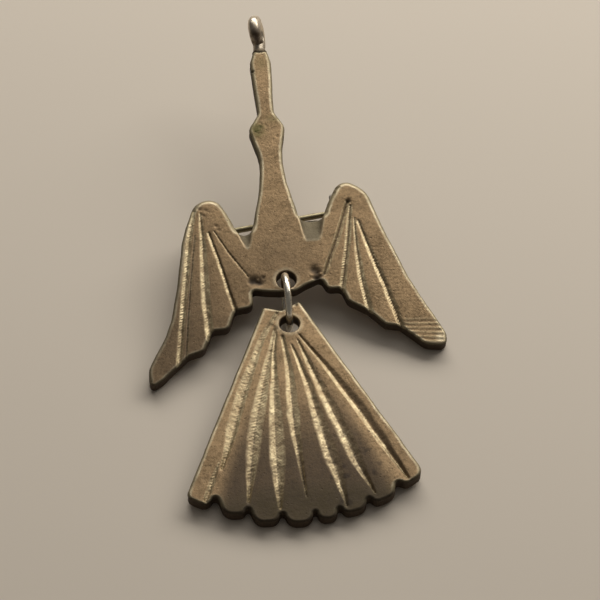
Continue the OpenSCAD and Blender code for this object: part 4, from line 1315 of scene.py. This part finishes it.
def wire_material(name, bright, dull_color, rough_low, rough_high, dark_color):
    """Drawn or pressed metal with draw lines, dull patches and darker places given per point."""
    made = groups()
    material, g, skin, at = start_material(name)
    worn = g.node("ShaderNodeAttribute", attribute_name="worn", attribute_type="GEOMETRY").outputs["Fac"]
    wire = g.group(made["wire"], Place=at, Nicks=0.5)
    tarnish = g.group(made["tarnish"], Place=at, Depth=0.6, Speckle=0.25)
    color = g.mix(tarnish.outputs["Mask"], rgb(bright), rgb(dull_color))
    color = g.mix(tarnish.outputs["Specks"], color, rgb(dark_color))
    darkened = g.math("MULTIPLY", worn, g.span(wire.outputs["Dull"], 0.3, 0.65, 0.55, 1.0))
    color = g.mix(darkened, color, rgb(dark_color))
    g.put(skin.inputs["Base Color"], color)
    rough = g.span(wire.outputs["Dull"], 0.35, 0.65, rough_low, rough_high)
    rough = g.math("ADD", rough, g.math("MULTIPLY", darkened, 0.25), clamp=True)
    g.put(skin.inputs["Roughness"], rough)
    g.put(skin.inputs["Metallic"], g.math("SUBTRACT", 1.0, g.math("MULTIPLY", darkened, 0.2)))
    bump = g.node("ShaderNodeBump", {"Height": wire.outputs["Height"], "Strength": 0.4,
                                     "Distance": 0.00003})
    g.put(skin.inputs["Normal"], bump.outputs[0])
    return material


def dress(piece, material):
    piece.data.materials.clear()
    piece.data.materials.append(material)


# ---- settings ---------------------------------------------------------------

class BroochSizes(bpy.types.PropertyGroup):
    """Sizes of the visible pieces."""
    edge_radius: bpy.props.FloatProperty(
        name="Edge rounding", description="Radius of the castings' front edges",
        default=0.5 * MM, min=0.2 * MM, max=0.9 * MM, unit="LENGTH", precision=5)
    back_radius: bpy.props.FloatProperty(
        name="Back rounding", description="Radius of the castings' back edges",
        default=0.3 * MM, min=0.1 * MM, max=0.6 * MM, unit="LENGTH", precision=5)
    mesh_step: bpy.props.FloatProperty(
        name="Mesh step", description="Distance between points on the castings' faces",
        default=0.2 * MM, min=0.15 * MM, max=0.6 * MM, unit="LENGTH", precision=5)
    bail_outer: bpy.props.FloatProperty(
        name="Bail diameter", description="Outer diameter of the bail's loop",
        default=5.6 * MM, min=4.6 * MM, max=7 * MM, unit="LENGTH", precision=5)
    ring_cut: bpy.props.FloatProperty(
        name="Ring cut", description="Where the jump ring is cut, from the beak side upwards",
        default=math.radians(-35), min=-math.pi, max=math.pi, subtype="ANGLE")


class BroochColors(bpy.types.PropertyGroup):
    """Colours of the metals."""
    pewter: bpy.props.FloatVectorProperty(
        name="Pewter", description="Cast pewter", subtype="COLOR", size=3,
        default=(0.225, 0.155, 0.086), min=0, max=1)
    tarnish: bpy.props.FloatVectorProperty(
        name="Tarnish", description="Dull antiqued pewter", subtype="COLOR", size=3,
        default=(0.125, 0.083, 0.043), min=0, max=1)
    # dark patina in recesses, also used as painted shade on walls, holes, notches and down-facing edges
    patina_and_shade: bpy.props.FloatVectorProperty(
        name="Recess", description="Dark patina in recesses", subtype="COLOR", size=3,
        default=(0.035, 0.022, 0.013), min=0, max=1)
    # rounded edges: a painted sheen where the edges reflect the surroundings
    rim: bpy.props.FloatVectorProperty(
        name="Rounded edges", description="Dull metal on the rounded edges", subtype="COLOR",
        size=3, default=(0.29, 0.255, 0.165), min=0, max=1)
    # rubbed edges: worn bright metal and a painted highlight on the edge crests
    rubbed: bpy.props.FloatVectorProperty(
        name="Rubbed edges", description="Edges rubbed bright", subtype="COLOR", size=3,
        default=(0.72, 0.62, 0.43), min=0, max=1)
    # cut grooves: clean metal with a painted highlight on the slopes that face the light
    cut_metal_and_sheen: bpy.props.FloatVectorProperty(
        name="Cut grooves", description="Bright metal in the grooves", subtype="COLOR", size=3,
        default=(0.62, 0.52, 0.325), min=0, max=1)
    stain: bpy.props.FloatVectorProperty(
        name="Stain", description="Greenish stain", subtype="COLOR", size=3,
        default=(0.13, 0.115, 0.032), min=0, max=1)
    ring: bpy.props.FloatVectorProperty(
        name="Ring wire", description="Polished ring wire", subtype="COLOR", size=3,
        default=(0.82, 0.77, 0.66), min=0, max=1)
    findings: bpy.props.FloatVectorProperty(
        name="Findings", description="Nickel-plated findings", subtype="COLOR", size=3,
        default=(0.66, 0.63, 0.56), min=0, max=1)
    floor: bpy.props.FloatVectorProperty(
        name="Floor", description="Pale floor", subtype="COLOR", size=3,
        default=(0.68, 0.61, 0.525), min=0, max=1)


class BroochStage(bpy.types.PropertyGroup):
    """Camera and lights."""
    elevation: bpy.props.FloatProperty(
        name="Elevation", description="How far the camera looks down",
        default=math.radians(49.5), subtype="ANGLE")
    swing: bpy.props.FloatProperty(
        name="Swing", description="How far the camera stands to the left",
        default=math.radians(6.0), subtype="ANGLE")
    distance: bpy.props.FloatProperty(
        name="Distance", description="From the camera to the bird's ring hole",
        default=0.32, unit="LENGTH")
    key_power: bpy.props.FloatProperty(
        name="Main light", description="Power of the large soft light", default=2.8,
        subtype="POWER")
    fill_power: bpy.props.FloatProperty(
        name="Fill light", description="Power of the overhead light", default=0.55,
        subtype="POWER")


# ---- operators --------------------------------------------------------------

class BROOCH_OT_bird(bpy.types.Operator):
    """Build the bird casting"""
    bl_idname = "brooch.bird"
    bl_label = "Bird casting"

    def execute(self, context):
        scene = context.scene
        piece = build_casting("bird_body", "bird_casting", "brooch", "cast_pewter",
                              BIRD_GROOVES, BIRD_DENTS, scene.brooch_sizes, bird_extras, 100,
                              bird_rims, wide=1.35)
        dress(piece, pewter_material("antiqued_pewter", scene.brooch_colors, 1.0, 0.9, 1.0))
        return {"FINISHED"}


class BROOCH_OT_tail(bpy.types.Operator):
    """Build the fan tail casting"""
    bl_idname = "brooch.tail"
    bl_label = "Fan tail"

    def execute(self, context):
        scene = context.scene
        piece = build_casting("fan_tail", "tail_fan", "tail", "cast_pewter_dark",
                              TAIL_GROOVES, TAIL_DENTS, scene.brooch_sizes, tail_extras, 500,
                              low_edge_shade=1.0)
        dress(piece, pewter_material("antiqued_pewter_tail", scene.brooch_colors, 0.97, 0.8, 1.0))
        return {"FINISHED"}


class BROOCH_OT_rings(bpy.types.Operator):
    """Build the jump ring and the bail with its solder"""
    bl_idname = "brooch.rings"
    bl_label = "Jump ring and bail"

    def execute(self, context):
        scene = context.scene
        colors = scene.brooch_colors
        ring = build_jump_ring(scene.brooch_sizes)
        loop, foot, collar = build_bail(scene.brooch_sizes)
        wire = wire_material("polished_wire", colors.ring, (0.58, 0.52, 0.42), 0.2, 0.36,
                             (0.13, 0.1, 0.07))
        worn = wire_material("bail_metal", (0.72, 0.64, 0.52), (0.46, 0.39, 0.29), 0.24, 0.42,
                             (0.09, 0.062, 0.04))
        solder = wire_material("dull_solder", (0.34, 0.28, 0.2), (0.2, 0.16, 0.11), 0.45, 0.65,
                               (0.07, 0.05, 0.035))
        dress(ring, wire)
        dress(loop, worn)
        dress(foot, worn)
        dress(collar, solder)
        for p in (ring, loop, foot, collar):
            fix_normals(p)
        return {"FINISHED"}


class BROOCH_OT_pin(bpy.types.Operator):
    """Build the brooch pin: hinge, rivet, stem, catch and solder"""
    bl_idname = "brooch.pin"
    bl_label = "Brooch pin"

    def execute(self, context):
        scene = context.scene
        colors = scene.brooch_colors
        plated = wire_material("plated_findings", colors.findings, (0.47, 0.43, 0.36), 0.3, 0.48,
                               (0.12, 0.1, 0.075))
        steel = wire_material("steel_stem", (0.42, 0.37, 0.23), (0.26, 0.22, 0.13), 0.34, 0.5,
                              (0.12, 0.1, 0.075))
        solder = wire_material("pad_solder", (0.42, 0.38, 0.32), (0.25, 0.22, 0.18), 0.42, 0.62,
                               (0.08, 0.065, 0.05))
        looks = {"findings": plated, "steel_wire": steel, "solder": solder}
        for piece in build_findings(scene.brooch_sizes):
            dress(piece, looks[piece["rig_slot"]])
        return {"FINISHED"}


class BROOCH_OT_stage(bpy.types.Operator):
    """Set up the floor, the lights and the camera"""
    bl_idname = "brooch.stage"
    bl_label = "Floor, lights and camera"

    def execute(self, context):
        scene = context.scene
        stage = scene.brooch_stage
        build_floor(scene.brooch_colors)
        build_lights(scene, stage)
        build_camera(scene, stage)
        return {"FINISHED"}


def build_floor(colors):
    """A plain pale floor."""
    half = 1.2
    mesh = bpy.data.meshes.new("floor")
    mesh.from_pydata([(-half, -half, 0), (half, -half, 0), (half, half, 0), (-half, half, 0)],
                     [], [(0, 1, 2, 3)])
    floor = bpy.data.objects.new("floor", mesh)
    bpy.context.scene.collection.objects.link(floor)
    material, g, skin, at = start_material("pale_floor")
    g.put(skin.inputs["Base Color"], rgb(colors.floor))
    skin.inputs["Roughness"].default_value = 0.9
    skin.inputs["Specular IOR Level"].default_value = 0.15
    dress(floor, material)


def area_light(name, place, target, size, power, color):
    data = bpy.data.lights.new(name, "AREA")
    data.shape = "RECTANGLE"
    data.size, data.size_y = size
    data.energy = power
    data.color = color
    lamp = bpy.data.objects.new(name, data)
    lamp.location = place
    lamp.rotation_euler = (Vector(target) - Vector(place)).to_track_quat("-Z", "Y").to_euler()
    bpy.context.scene.collection.objects.link(lamp)
    return lamp


def build_lights(scene, stage):
    """A broad soft light behind and to the right, one overhead, and a dim surround."""
    area_light("main_light", (0.15, 0.34, 0.28), (0, 0.02, 0), (0.76, 0.26), stage.key_power,
               (1.0, 0.965, 0.9))
    area_light("top_light", (0.1, 0.3, 0.8), (0, 0, 0), (0.55, 0.55), stage.fill_power,
               (1.0, 0.97, 0.92))
    world = bpy.data.worlds.new("surround")
    scene.world = world
    world.use_nodes = True
    back = world.node_tree.nodes["Background"]
    back.inputs["Color"].default_value = (0.95, 0.9, 0.83, 1.0)
    back.inputs["Strength"].default_value = 0.12


def build_camera(scene, stage):
    """The camera looks down on the piece from the tail's side."""
    bird = Plate(NODES["bird_casting"])
    hole = Vector(bird.world(np.zeros((1, 3)))[0])
    up, swing = stage.elevation, stage.swing
    away = Vector((-math.sin(swing) * math.cos(up), -math.cos(swing) * math.cos(up), math.sin(up)))
    look = -away
    right = look.cross(Vector((0, 0, 1))).normalized()
    top = right.cross(look)
    # the hole lies this far from the middle of the view, as a share of the distance
    aside, below = HOLE_PLACE
    ray = (look + right * aside + top * below).normalized()
    data = bpy.data.cameras.new("camera")
    data.sensor_width = 36.0
    data.lens = LENS
    data.clip_start = 0.01
    camera = bpy.data.objects.new("camera", data)
    axes = Matrix((right, top, -look)).transposed()
    camera.matrix_world = Matrix.Translation(hole - ray * stage.distance) @ axes.to_4x4()
    scene.collection.objects.link(camera)
    scene.camera = camera


LENS = 135.75
HOLE_PLACE = (-0.00606, 0.00902)


class BROOCH_PT_panel(bpy.types.Panel):
    bl_idname = "BROOCH_PT_panel"
    bl_label = "Bird brooch-pendant"
    bl_space_type = "VIEW_3D"
    bl_region_type = "UI"
    bl_category = "Brooch"

    def draw(self, context):
        layout = self.layout
        for operator in OPERATORS:
            layout.operator(operator.bl_idname)
        for settings in (context.scene.brooch_sizes, context.scene.brooch_colors,
                         context.scene.brooch_stage):
            box = layout.box()
            for key in settings.__annotations__:
                box.prop(settings, key)


OPERATORS = (BROOCH_OT_bird, BROOCH_OT_tail, BROOCH_OT_rings, BROOCH_OT_pin, BROOCH_OT_stage)
SETTINGS = {"brooch_sizes": BroochSizes, "brooch_colors": BroochColors, "brooch_stage": BroochStage}


def register():
    for kind in (*SETTINGS.values(), *OPERATORS, BROOCH_PT_panel):
        bpy.utils.register_class(kind)
    for name, kind in SETTINGS.items():
        setattr(bpy.types.Scene, name, bpy.props.PointerProperty(type=kind))


def unregister():
    for name in SETTINGS:
        delattr(bpy.types.Scene, name)
    for kind in reversed((*SETTINGS.values(), *OPERATORS, BROOCH_PT_panel)):
        bpy.utils.unregister_class(kind)


def main():
    register()
    bpy.context.scene.view_settings.view_transform = "Standard"
    bpy.ops.brooch.bird()
    bpy.ops.brooch.tail()
    bpy.ops.brooch.rings()
    bpy.ops.brooch.pin()
    bpy.ops.brooch.stage()


if __name__ == "__main__":
    main()
